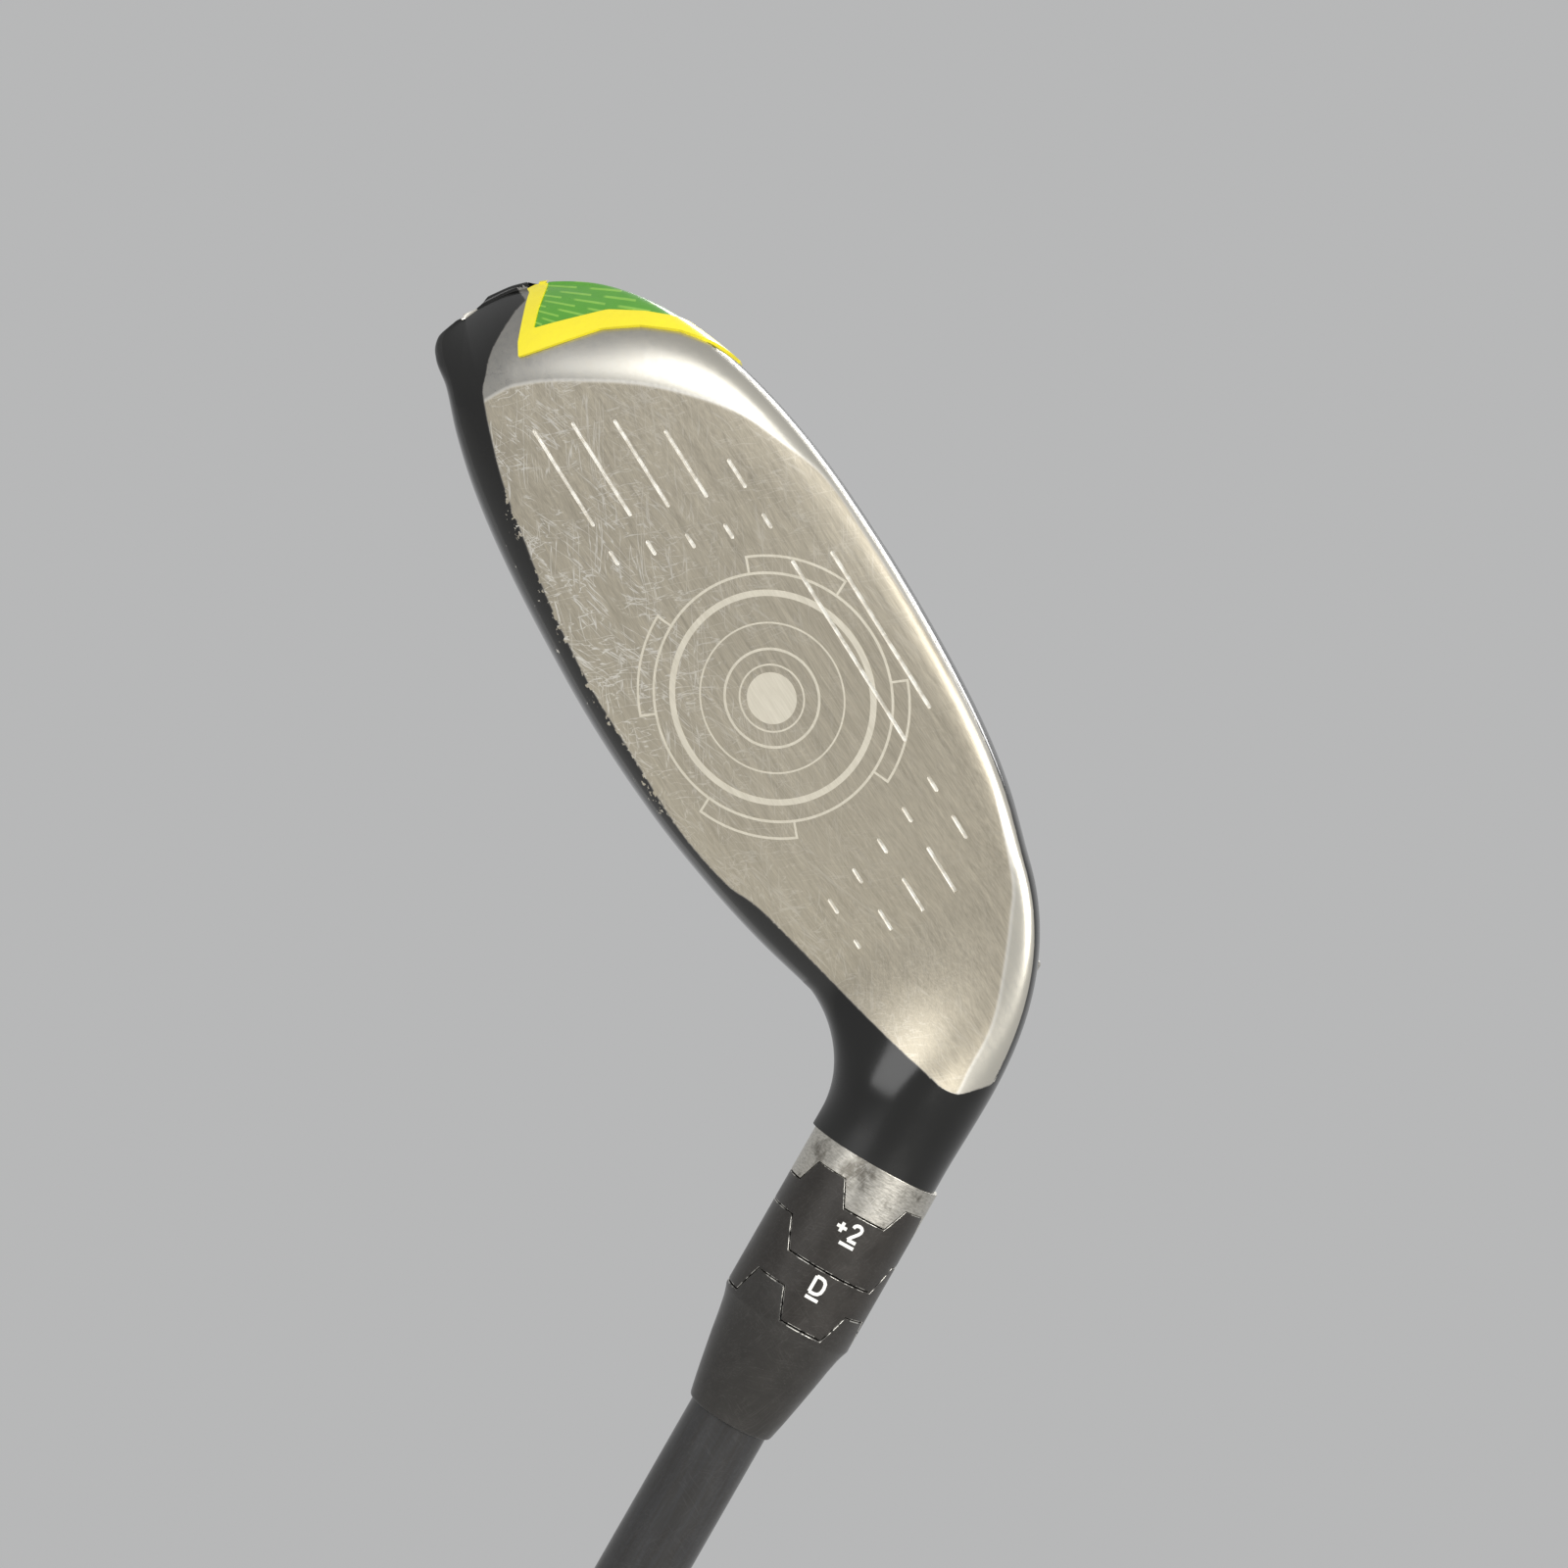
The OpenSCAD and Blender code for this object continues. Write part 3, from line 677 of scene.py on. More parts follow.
marks = {"stroke": 0.42, "lift": 0.018, "loftZ": z0 - 6.75, "lieZ": z0 - 13.7, "scale": 0.9,
    "shift": -0.85, "deep": 0.05}
strokes = {
    "plusTwo": [
        [(-1.72, 0.0), (-0.42, 0.0)], [(-1.07, 0.62), (-1.07, -0.62)],
        [(0.24, 0.55), (0.3, 0.82), (0.5, 1.02), (0.82, 1.08), (1.14, 1.0), (1.34, 0.76), (1.34, 0.46),
            (1.16, 0.14), (0.84, -0.24), (0.5, -0.64), (0.26, -1.04)], [(0.26, -1.04), (1.42, -1.04)],
                [(-0.5, -1.75), (1.5, -1.75)],
    ],
    "letter": [
        [(-0.7, 1.05), (-0.7, -1.05)], [(-0.7, 1.05), (0.0, 1.05), (0.4, 0.93), (0.68, 0.6), (0.78, 0.0),
            (0.68, -0.6), (0.4, -0.93), (0.0, -1.05), (-0.7, -1.05)], [(-0.85, -1.72), (0.9, -1.72)],
    ],
}


def onRing(x, z, zMid, lift):
    a = math.radians(-90 + hosel["turn"]) + (x * marks["scale"] + marks["shift"]) / hosel["radius"]
    r = hosel["radius"] + lift
    return Vector((r * math.cos(a), r * math.sin(a), zMid + z * marks["scale"]))


def markPiece(name, key, zMid, body):
    verts, faces = [], []
    for line in strokes[key]:
        pts = []
        for (xa, za), (xb, zb) in zip(line[:-1], line[1:]):
            n = max(2, int(math.hypot(xb - xa, zb - za) / 0.12))
            pts += [(xa + (xb - xa) * k / n, za + (zb - za) * k / n) for k in range(n)]
        pts.append(line[-1])
        base = len(verts)
        w = marks["stroke"] / 2
        for k, (x, z) in enumerate(pts):
            xa, za = pts[max(k - 1, 0)]
            xb, zb = pts[min(k + 1, len(pts) - 1)]
            d = math.hypot(xb - xa, zb - za) or 1
            nx, nz = -(zb - za) / d, (xb - xa) / d
            for side in (-1, 1):
                for lift in (marks["lift"], -marks["deep"]):
                    verts.append(onRing(x + nx * w * side, z + nz * w * side, zMid, lift))
        for k in range(len(pts) - 1):
            a, b = base + 4 * k, base + 4 * (k + 1)
            faces += [(a, b, b + 2, a + 2), (a + 1, a + 3, b + 3, b + 1), (a, a + 1, b + 1, b),
                (a + 2, b + 2, b + 3, a + 3)]
        e = base + 4 * (len(pts) - 1)
        faces += [(base, base + 2, base + 3, base + 1), (e, e + 1, e + 3, e + 2)]
    return tidyMesh(makePiece(name, verts, faces, body, slot="cog", smooth=False))


loftMark = markPiece("loftMark", "plusTwo", marks["loftZ"], "first_cog")
lieMark = markPiece("lieMark", "letter", marks["lieZ"], "second_cog")
print("marks made")

sleeve = lathe("adapterSleeve", [
    (4.75, z0 - 24), (5.3, z0 - 24), (5.5, z0 - 23.7), (5.5, z0 - 1.4), (5.4, z0 - 1.2), (5.4, z0 - 0.6),
    (5.5, z0 - 0.4), (5.5, zStem - 0.7), (5.05, zStem - 0.15), (4.7, zStem), (3.2, zStem),
    (2.56, zStem - 0.6), (2.56, zTip + 0.2), (4.75, zTip + 0.2)],
    "club", ["adapter_sleeve"], "sleeve", 96)
soften(sleeve, 0.08)

screwSize = {"radius": 2.5, "pitch": 0.8, "deep": 0.46, "head": 4.2, "headHigh": 4.4, "socket": 1.78,
    "lobe": 0.26, "socketDeep": 2.85}


def screwThread():
    z1, z2 = zTip + 1.25, zWeb - 0.4
    n, m = 60, int((z2 - z1) / 0.09)
    verts, faces = [], []
    for j in range(m + 1):
        z = z1 + (z2 - z1) * j / m
        for k, a in enumerate(around(n)):
            p = ((z - z1) / screwSize["pitch"] - k / n) % 1.0
            tri = abs(p - 0.5) * 2
            runout = min(1.0, (z - z1) / 0.9, (z2 - z) / 0.7)
            r = screwSize["radius"] - screwSize["deep"] * min(max((tri - 0.12) / 0.76, 0), 1) - 0.35 * (1
                - min(1.0, (z - z1) / 0.5))
            r = r if runout >= 1 else min(r, screwSize["radius"] - 0.05 - 0.1 * (1 - runout))
            verts.append(polar(r, a, z))
    return verts, tube(range(m + 1), n) + [tuple(range(n))[::-1], tuple(m * n + k for k in range(n))]


def screwHeadAt(a):
    s = screwSize["socket"] + screwSize["lobe"] * math.cos(6 * a)
    z1 = zPort + 0.05
    z2 = z1 + screwSize["headHigh"]
    knurl = 0.035 * math.cos(60 * a)
    return [(2.44, zWeb - 0.4), (2.44, z1), (3.7, z1), (screwSize["head"] - 0.12, z1 + 0.25),
        (screwSize["head"] - 0.06 + knurl, z1 + 0.5), (screwSize["head"] - 0.06 + knurl, z2 - 0.9),
        (screwSize["head"] - 0.12, z2 - 0.6), (3.7, z2), (s + 0.22, z2), (s, z2 - 0.22),
        (s, z2 - screwSize["socketDeep"]), (0.02, z2 - screwSize["socketDeep"] - 0.5), (0.02, zWeb - 0.4)]


screw = tidyMesh(makePiece("adapterScrew", *screwThread(), "screw", ["adapter_screw"], "screw"))
screwHead = turned("screwHead", screwHeadAt, around(240), "screw", [], "screw")
soften(screwHead, 0.07, 40)
retainer = lathe("screwRetainer", [(2.53, zStem + 0.9), (4.7, zStem + 0.9), (4.95, zStem + 1.15),
    (4.95, zStem + 2.15), (4.7, zStem + 2.4), (2.9, zStem + 2.4), (2.53, zStem + 2.05)], "screw",
        ["screw_retainer"], "retainer", 72)
soften(retainer, 0.06)
plug = lathe("tipPlug", [(0.02, zTip - 14), (2.9, zTip - 14), (3.25, zTip - 13.6), (3.27, zTip - 9),
    (3.1, zTip - 8.4), (3.27, zTip - 7.8), (3.27, zTip - 2.4), (2.9, zTip - 2.0), (0.02, zTip - 2.0)],
        "club", ["tip_plug"], "plug", 64)
soften(plug, 0.05)

shaftSize = {"tip": 4.7, "butt": 7.6, "wall": 1.4, "tipLength": 90.0, "gripLength": 267.0}


def shaftRadius(z):
    zt = zTip - shaftSize["tipLength"]
    return shaftSize["tip"] if z > zt else shaftSize["tip"] + (shaftSize["butt"] - shaftSize["tip"]) * (zt
        - z) / (zt - 4)


shaftStops = list(np.linspace(4, zTip - 90, 60)) + list(np.linspace(zTip - 86, zTip - 0.3, 24)) + [zTip]
outerLine = [(shaftRadius(z) - (0.15 if z in (4.0, zTip) else 0), float(z)) for z in shaftStops]
innerLine = [(shaftRadius(z) - shaftSize["wall"], float(z)) for z in shaftStops[::-1]]
shaft = lathe("shaft", outerLine + innerLine, "club", ["shaft"], "shaft", 112)
soften(shaft, 0.06, 50)


def gripRadius(z):
    g = shaftSize["gripLength"]
    keys = [(0.4, 12.5), (1.6, 13.2), (9, 13.2), (22, 12.0), (g * 0.4, 10.7), (g - 8, 9.1), (g - 1, 8.6),
        (g, 8.05)]
    return float(np.interp(z, [k[0] for k in keys], [k[1] for k in keys]))


gripLook = {"around": 150, "rowGap": 3.4, "deep": 0.34, "bandFrom": 26.0, "bandTo": 246.0}


def gripMesh():
    g = shaftSize["gripLength"]
    zs = [0.4, 0.7, 1.1, 1.6] + list(np.linspace(2.4, 25.5, 26)) + list(np.linspace(26, 246,
        470)) + list(np.linspace(247, g - 0.8, 26)) + [g - 0.3, g]
    n, m = gripLook["around"], len(zs)
    verts = []
    for z in zs:
        for k, a in enumerate(around(n)):
            r = gripRadius(z)
            if z > gripLook["bandFrom"] and z < gripLook["bandTo"]:
                fade = min(1, (z - gripLook["bandFrom"]) / 2, (gripLook["bandTo"] - z) / 2)
                c1 = (z / gripLook["rowGap"] + 6 * k / n) % 1.0
                c2 = (z / gripLook["rowGap"] - 6 * k / n) % 1.0
                gate = math.sin(2 * math.pi * (z - 26) / 44.0) > -0.72
                lane = abs(math.sin(3 * a)) > 0.32
                cut = max(0, 1 - abs(c1 - 0.5) / 0.14) + max(0, 1 - abs(c2 - 0.5) / 0.14)
                if gate and lane:
                    r -= gripLook["deep"] * fade * min(1, cut)
            else:
                for mark in (12.0, 20.0, 250.0, 256.0):
                    r -= 0.4 * max(0, 1 - abs(z - mark) / 0.9)
            verts.append(polar(r, a, z))
    for z, r in ((0.4, 11.35), (3.8, 11.35), (3.8, shaftRadius(4) + 0.32), (g, shaftRadius(g) + 0.32)):
        verts += [polar(r, a, z) for a in around(n)]
    return verts, tube(range(m), n) + tube([m - 1, m + 3, m + 2, m + 1, m, 0], n)


grip = tidyMesh(makePiece("grip", *gripMesh(), "club", ["grip"], "grip_rubber"), weld=False)
cap = lathe("gripCap", [(1.5, 0.0), (8.0, 0.0), (8.2, 0.22), (8.8, 0.22), (9.0, 0.0), (10.7, 0.0),
    (11.1, 0.3), (11.2, 0.8), (11.2, 3.65), (6.0, 3.65), (6.0, 7.4), (5.7, 8.0), (1.5, 8.0)], "club",
        ["grip_cap"], "cap_rubber", 120)
soften(cap, 0.12, 40)
tapeLook = {"pitch": 24.0, "overlap": 0.07}


def tapeMesh():
    n, zs = 72, np.linspace(6.0, shaftSize["gripLength"] - 4, 240)
    verts = []
    for z in zs:
        for k, a in enumerate(around(n)):
            p = (z / tapeLook["pitch"] + k / n) % 1.0
            verts.append(polar(shaftRadius(z) + 0.17 + tapeLook["overlap"] * (1 if p < 0.12 else 0), a, z))
    for z in (zs[-1], zs[0]):
        verts += [polar(shaftRadius(z) + 0.05, a, z) for a in around(n)]
    return verts, tube(list(range(len(zs) + 2)) + [0], n)


tape = tidyMesh(makePiece("gripTape", *tapeMesh(), "club", ["grip_tape"], "tape"))
print("shaft and grip made")

inside = {"postRadius": 2.3, "toe": (15, 11, 3.6, 30.8), "heel": (-15, 11, 4.6, 28.0),
    "weight": (6, 25, 7.1, 17, 9, 5.8)}


# a point inside the head and the steps of one mm along the head's own directions
def placeInside(u, y, h):
    o = Vector(toClub(u, y, h))
    return o, Vector(toClub(u + 1, y, h)) - o, Vector((0, 1, 0)), Vector(toClub(u, y, h + 1)) - o


def insidePost(name, place, node):
    u, y, h, tall = place
    o, e1, e2, e3 = placeInside(u, y, h)
    r = inside["postRadius"]
    prof = [(0.02, 0), (r + 0.05, 0), (r + 0.05, 0.7), (r - 0.35, 1.6)] + [
        (r - 0.35 - 0.25 * math.sin(math.pi * t), 1.6 + (tall - 3.2) * t)
        for t in np.linspace(0.05, 0.95, 12)] + [
        (r - 0.35, tall - 1.6), (r + 0.05, tall - 0.7), (r + 0.05, tall), (0.02, tall)]
    m, n = len(prof), 48
    verts = [tuple(o + e1 * (q * math.cos(a)) + e2 * (q * math.sin(a)) + e3 * z) for a in around(n)
        for q, z in prof]
    faces = [(k * m + j, ((k + 1) % n) * m + j, ((k + 1) % n) * m + j + 1, k * m + j + 1)
             for k in range(n) for j in range(m - 1)]
    return tidyMesh(makePiece(name, verts, faces, "head", [node], "inner_steel"))


postToe = insidePost("postToe", inside["toe"], "post_toe")
postHeel = insidePost("postHeel", inside["heel"], "post_heel")


def weightMesh():
    u, y, h, hw, hd, tall = inside["weight"]
    o, e1, e2, e3 = placeInside(u, y, h)
    cut = 2.6
    outline = [(-hw + cut, -hd), (hw - cut, -hd), (hw, -hd + cut), (hw, hd - cut), (hw - cut, hd),
        (-hw + cut, hd), (-hw, hd - cut), (-hw, -hd + cut)]
    rings = ((0, 0.97), (0.8, 1.0), (tall - 1.2, 1.0), (tall, 0.93))
    verts = [tuple(o + e1 * (x * s) + e2 * (d * s) + e3 * z) for z, s in rings for x, d in outline]
    n = len(outline)
    return verts, [tuple(range(n))[::-1], tuple(3 * n + k for k in range(n))] + tube(range(4), n)


weight = tidyMesh(makePiece("innerWeight", *weightMesh(), "head", ["inner_weight"], "weight"))
soften(weight, 0.35, 20)
print("inner pieces made")

# where steel shows and where paint starts
paintLines = {"steelHeelU": -51.0, "lowest": -25.0, "farToe": 62.0, "roundLimit": 5.6}
steelOutline = faceLines["top"] + [(paintLines["steelHeelU"], paintLines["lowest"]),
    (paintLines["farToe"], paintLines["lowest"]), (paintLines["farToe"], 19.0)]
sampleStations = np.concatenate([headStations[::2], neckStations])
samplePlaces = np.linspace(-1.22, 14.78, 241)[:-1]
samplePts, _ = surface(sampleStations, samplePlaces)
sampleFlat = samplePts.reshape(-1, 3)
sampleTree = KDTree(len(sampleFlat))
for k, p in enumerate(sampleFlat):
    sampleTree.insert(p, k)
sampleTree.balance()
sampleV = np.tile(samplePlaces, len(sampleStations))
sampleArc = np.linalg.norm(np.gradient(samplePts, samplePlaces, axis=1), axis=2).reshape(-1)


# head coordinates, distance inside the bare steel and outside the face's flat, for every point of a piece
def skinMarks(ob):
    me = ob.data
    co = np.zeros(len(me.vertices) * 3)
    me.vertices.foreach_get("co", co)
    co = co.reshape(-1, 3) / mm
    x, z = co[:, 0] - club["ringX"], co[:, 2] - zc
    u, y, h = -sl * x + cl * z, co[:, 1] + club["forward"], midHeight - (cl * x + sl * z)
    v, arc = np.zeros(len(co)), np.zeros(len(co))
    for k, p in enumerate(co):
        near = [(i, 1 / (d + 1e-3)) for _, i, d in sampleTree.find_n(p, 3)]
        total = sum(x for _, x in near)
        v[k] = sum(sampleV[i] * x for i, x in near) / total
        arc[k] = sum(sampleArc[i] * x for i, x in near) / total
    steel = np.minimum(-outside(steelOutline, u, h), (v - faceLines["soleEdge"]) * arc)
    steel = np.where(v > paintLines["roundLimit"], -20, steel)
    flat = outside(faceLines["flat"], u, h)
    for name, values in (("toeward", u), ("depthward", y), ("upward", h), ("roundward", v),
            ("steel", steel), ("band", flat)):
        addAttribute(me, name, values)


for ob in (faceCup, neckShell, rearShell, crownShell, toeBadge, rimFrame, targetRings):
    skinMarks(ob)
print("paint borders marked")

effects = {}


# a shared effect is a node group with named inputs and outputs; an input without a number is a vector
def makeEffect(name, build, outs, **ins):
    tree = bpy.data.node_groups.new(name, "ShaderNodeTree")
    for key, value in ins.items():
        kind = "NodeSocketVector" if value is None else "NodeSocketFloat"
        s = tree.interface.new_socket(name=key, in_out="INPUT", socket_type=kind)
        if value is not None:
            s.default_value = value
    for key in outs:
        tree.interface.new_socket(name=key, in_out="OUTPUT", socket_type="NodeSocketFloat")
    gi, go = tree.nodes.new("NodeGroupInput"), tree.nodes.new("NodeGroupOutput")
    build(Net(tree), gi.outputs, go.inputs)
    effects[name] = tree


# short calls for adding and linking nodes
class Net:
    def __init__(self, tree, shader=None):
        self.t, self.shader = tree, shader

    def add(self, kind, **links):
        n = self.t.nodes.new("ShaderNode" + kind)
        for key, value in links.items():
            self.put(n.inputs[key.replace("_", " ")], value)
        return n

    def put(self, socket, value):
        if hasattr(value, "is_linked"):
            self.t.links.new(value, socket)
        elif value is not None:
            socket.default_value = value

    def set(self, name, value):
        self.put(self.shader.inputs[name], value)

    def math(self, op, a, b=None, clamp=False):
        n = self.add("Math")
        n.operation, n.use_clamp = op, clamp
        self.put(n.inputs[0], a)
        self.put(n.inputs[1], b)
        return n.outputs[0]

    def times(self, a, b, clamp=False):
        return self.math("MULTIPLY", a, b, clamp)

    def plus(self, a, b):
        return self.math("ADD", a, b)

    def minus(self, a, b):
        return self.math("SUBTRACT", a, b)

    def vec(self, op, a, b=None, scale=None):
        n = self.add("VectorMath")
        n.operation = op
        self.put(n.inputs[0], a)
        self.put(n.inputs[1], b)
        if scale is not None:
            self.put(n.inputs["Scale"], scale)
        return n.outputs[0]

    def noise(self, vector, scale, detail=3.0, rough=0.55):
        return self.add("TexNoise", Vector=vector, Scale=scale, Detail=detail, Roughness=rough).outputs[0]

    def ramp(self, value, low, high, outLow=0.0, outHigh=1.0, smooth=True):
        n = self.add("MapRange", Value=value, From_Min=low, From_Max=high, To_Min=outLow, To_Max=outHigh)
        n.interpolation_type = "SMOOTHSTEP" if smooth else "LINEAR"
        return n.outputs[0]

    def mix(self, factor, a, b):
        n = self.add("Mix")
        n.data_type = "RGBA"
        for k, x in ((0, factor), (6, a), (7, b)):
            self.put(n.inputs[k], x)
        return n.outputs[2]

    def attr(self, name):
        n = self.add("Attribute")
        n.attribute_name = name
        return n.outputs["Fac"]

    # object coordinates in mm
    def place(self):
        return self.vec("SCALE", self.add("TexCoord").outputs["Object"], scale=1000.0)

    def headPlace(self):
        return self.add("CombineXYZ", X=self.attr("toeward"), Y=self.attr("depthward"),
            Z=self.attr("upward")).outputs[0]

    def stretch(self, vector, amounts):
        return self.vec("MULTIPLY", vector, amounts)

    def use(self, name, **given):
        n = self.t.nodes.new("ShaderNodeGroup")
        n.node_tree = effects[name]
        for k, x in given.items():
            self.put(n.inputs[k], x)
        return n.outputs

    def bump(self, height, strength, distance=0.00001):
        return self.add("Bump", Distance=distance, Strength=strength, Height=height).outputs[0]


def buildGrain(n, i, o):
    fine = n.noise(n.stretch(i["Place"], (0.35, 9.0, 9.0)), i["Scale"], 4.0, 0.6)
    wide = n.noise(n.stretch(i["Place"], (0.05, 1.6, 1.6)), i["Scale"], 3.0, 0.5)
    both = n.plus(n.times(fine, 0.65), n.times(wide, 0.35))
    n.put(o["Value"], n.ramp(both, 0.34, 0.66, 0.0, 1.0, False))
    n.put(o["Height"], n.times(n.minus(both, 0.5), i["Strength"]))


makeEffect("linearGrain", buildGrain, ("Value", "Height"), Place=None, Scale=1.0, Strength=1.0)


def buildScratches(n, i, o):
    total = None
    for turnBy, seed in ((0.35, 3.0), (-0.5, 11.0), (1.2, 23.0)):
        r = n.add("VectorRotate")
        r.rotation_type = "AXIS_ANGLE"
        r.inputs["Axis"].default_value = (0, 1, 0)
        r.inputs["Angle"].default_value = turnBy
        n.put(r.inputs["Vector"], i["Place"])
        moved = n.vec("ADD", r.outputs[0], (seed, seed * 0.7, seed * 0.3))
        wobble = n.noise(moved, 0.09, 2.0)
        line = n.noise(n.vec("ADD", n.stretch(moved, (0.06, 1.0, 2.4)),
            n.vec("SCALE", (0, 0, 1), scale=n.times(wobble, 5.0))), i["Scale"], 2.0, 0.5)
        thin = n.ramp(n.math("ABSOLUTE", n.minus(line, 0.5)), 0.0, 0.022, 1.0, 0.0)
        patches = n.ramp(n.noise(moved, 0.22, 2.0), 0.40, 0.54)
        part = n.times(thin, patches)
        total = part if total is None else n.math("MAXIMUM", total, part)
    n.put(o["Mask"], n.times(total, i["Amount"], True))


makeEffect("hairScratches", buildScratches, ("Mask",), Place=None, Scale=1.0, Amount=1.0)


def buildChips(n, i, o):
    cells = n.noise(i["Place"], 1.35, 3.0, 0.6)
    rare = n.noise(i["Place"], 0.33, 2.0, 0.5)
    reach = n.times(n.math("MAXIMUM", n.minus(cells, 0.52), 0.0), n.ramp(rare, 0.42, 0.62, 2.0, 13.0))
    grown = n.plus(i["Distance"], n.times(reach, i["Amount"]))
    waver = n.times(n.minus(n.noise(i["Place"], 0.8, 2.0), 0.5), 0.12)
    n.put(o["Mask"], n.ramp(n.plus(grown, waver), -0.05, 0.05))
    n.put(o["Rim"], n.ramp(n.math("ABSOLUTE", n.plus(grown, waver)), 0.0, 0.16, 1.0, 0.0))


makeEffect("paintEdge", buildChips, ("Mask", "Rim"), Place=None, Distance=0.0, Amount=1.0)


def buildMottle(n, i, o):
    a = n.noise(i["Place"], i["Scale"], 4.0, 0.6)
    n.put(o["Value"], n.ramp(a, 0.3, 0.7, 0.0, 1.0, False))
    speck = n.add("TexVoronoi", Vector=i["Place"], Scale=1.9).outputs[0]
    rare = n.ramp(n.noise(i["Place"], 0.6, 2.0), 0.55, 0.6)
    n.put(o["Specks"], n.times(n.ramp(speck, 0.03, 0.09, 1.0, 0.0), rare))
    n.put(o["Height"], n.minus(n.noise(i["Place"], n.times(i["Scale"], 6.0), 3.0), 0.5))


makeEffect("surfaceMottle", buildMottle, ("Value", "Specks", "Height"), Place=None, Scale=1.0)


def buildRays(n, i, o):
    side = n.minus(i["Along"], 66.0)
    rise = n.minus(i["Across"], 30.0)
    fan = n.times(n.math("ARCTAN2", rise, side), 26.0)
    stripe = n.math("FRACT", fan)
    far = n.math("SQRT", n.plus(n.times(side, side), n.times(rise, rise)))
    steps = n.math("FRACT", n.plus(n.times(far, 0.19), n.times(n.math("FLOOR", fan), 0.37)))
    line = n.ramp(n.math("ABSOLUTE", n.minus(stripe, 0.5)), 0.10, 0.20, 1.0, 0.0)
    n.put(o["Mask"], n.times(n.times(line, n.ramp(steps, 0.25, 0.35)), i["Amount"]))


makeEffect("diagonalRays", buildRays, ("Mask",), Along=0.0, Across=0.0, Amount=1.0)


def finish(name, build, **fixed):
    m = bpy.data.materials.new(name)
    m.use_nodes = True
    n = Net(m.node_tree, m.node_tree.nodes["Principled BSDF"])
    for k, v in fixed.items():
        n.set(k.replace("_", " "), v)
    build(n)
    return m


def dress(objects, material):
    for ob in objects:
        ob.data.materials.clear()
        ob.data.materials.append(material)


look = {
    "steel": (0.60, 0.545, 0.435, 1), "steelDeep": (0.40, 0.36, 0.285, 1),
    # the grey band colour here is painted shade on the sole-side band towards the toe
    "bandSteel": (0.70, 0.675, 0.60, 1), "bandToeShade": (0.36, 0.355, 0.34, 1),
    # the next colour serves the hair scratches and also a painted highlight along the edge of the face's flat
    "scratchAndHighlight": (0.93, 0.90, 0.83, 1),
    "paint": (0.0075, 0.0075, 0.007, 1), "paintDust": (0.06, 0.058, 0.052, 1), "chip": (0.70, 0.67, 0.60, 1),
    "green": (0.085, 0.34, 0.016, 1), "greenLight": (0.30, 0.60, 0.07, 1), "yellow": (0.93, 0.80, 0.02, 1),
    "cog": (0.024, 0.021, 0.018, 1), "white": (0.85, 0.84, 0.80, 1), "shaft": (0.020, 0.0185, 0.017, 1),
}


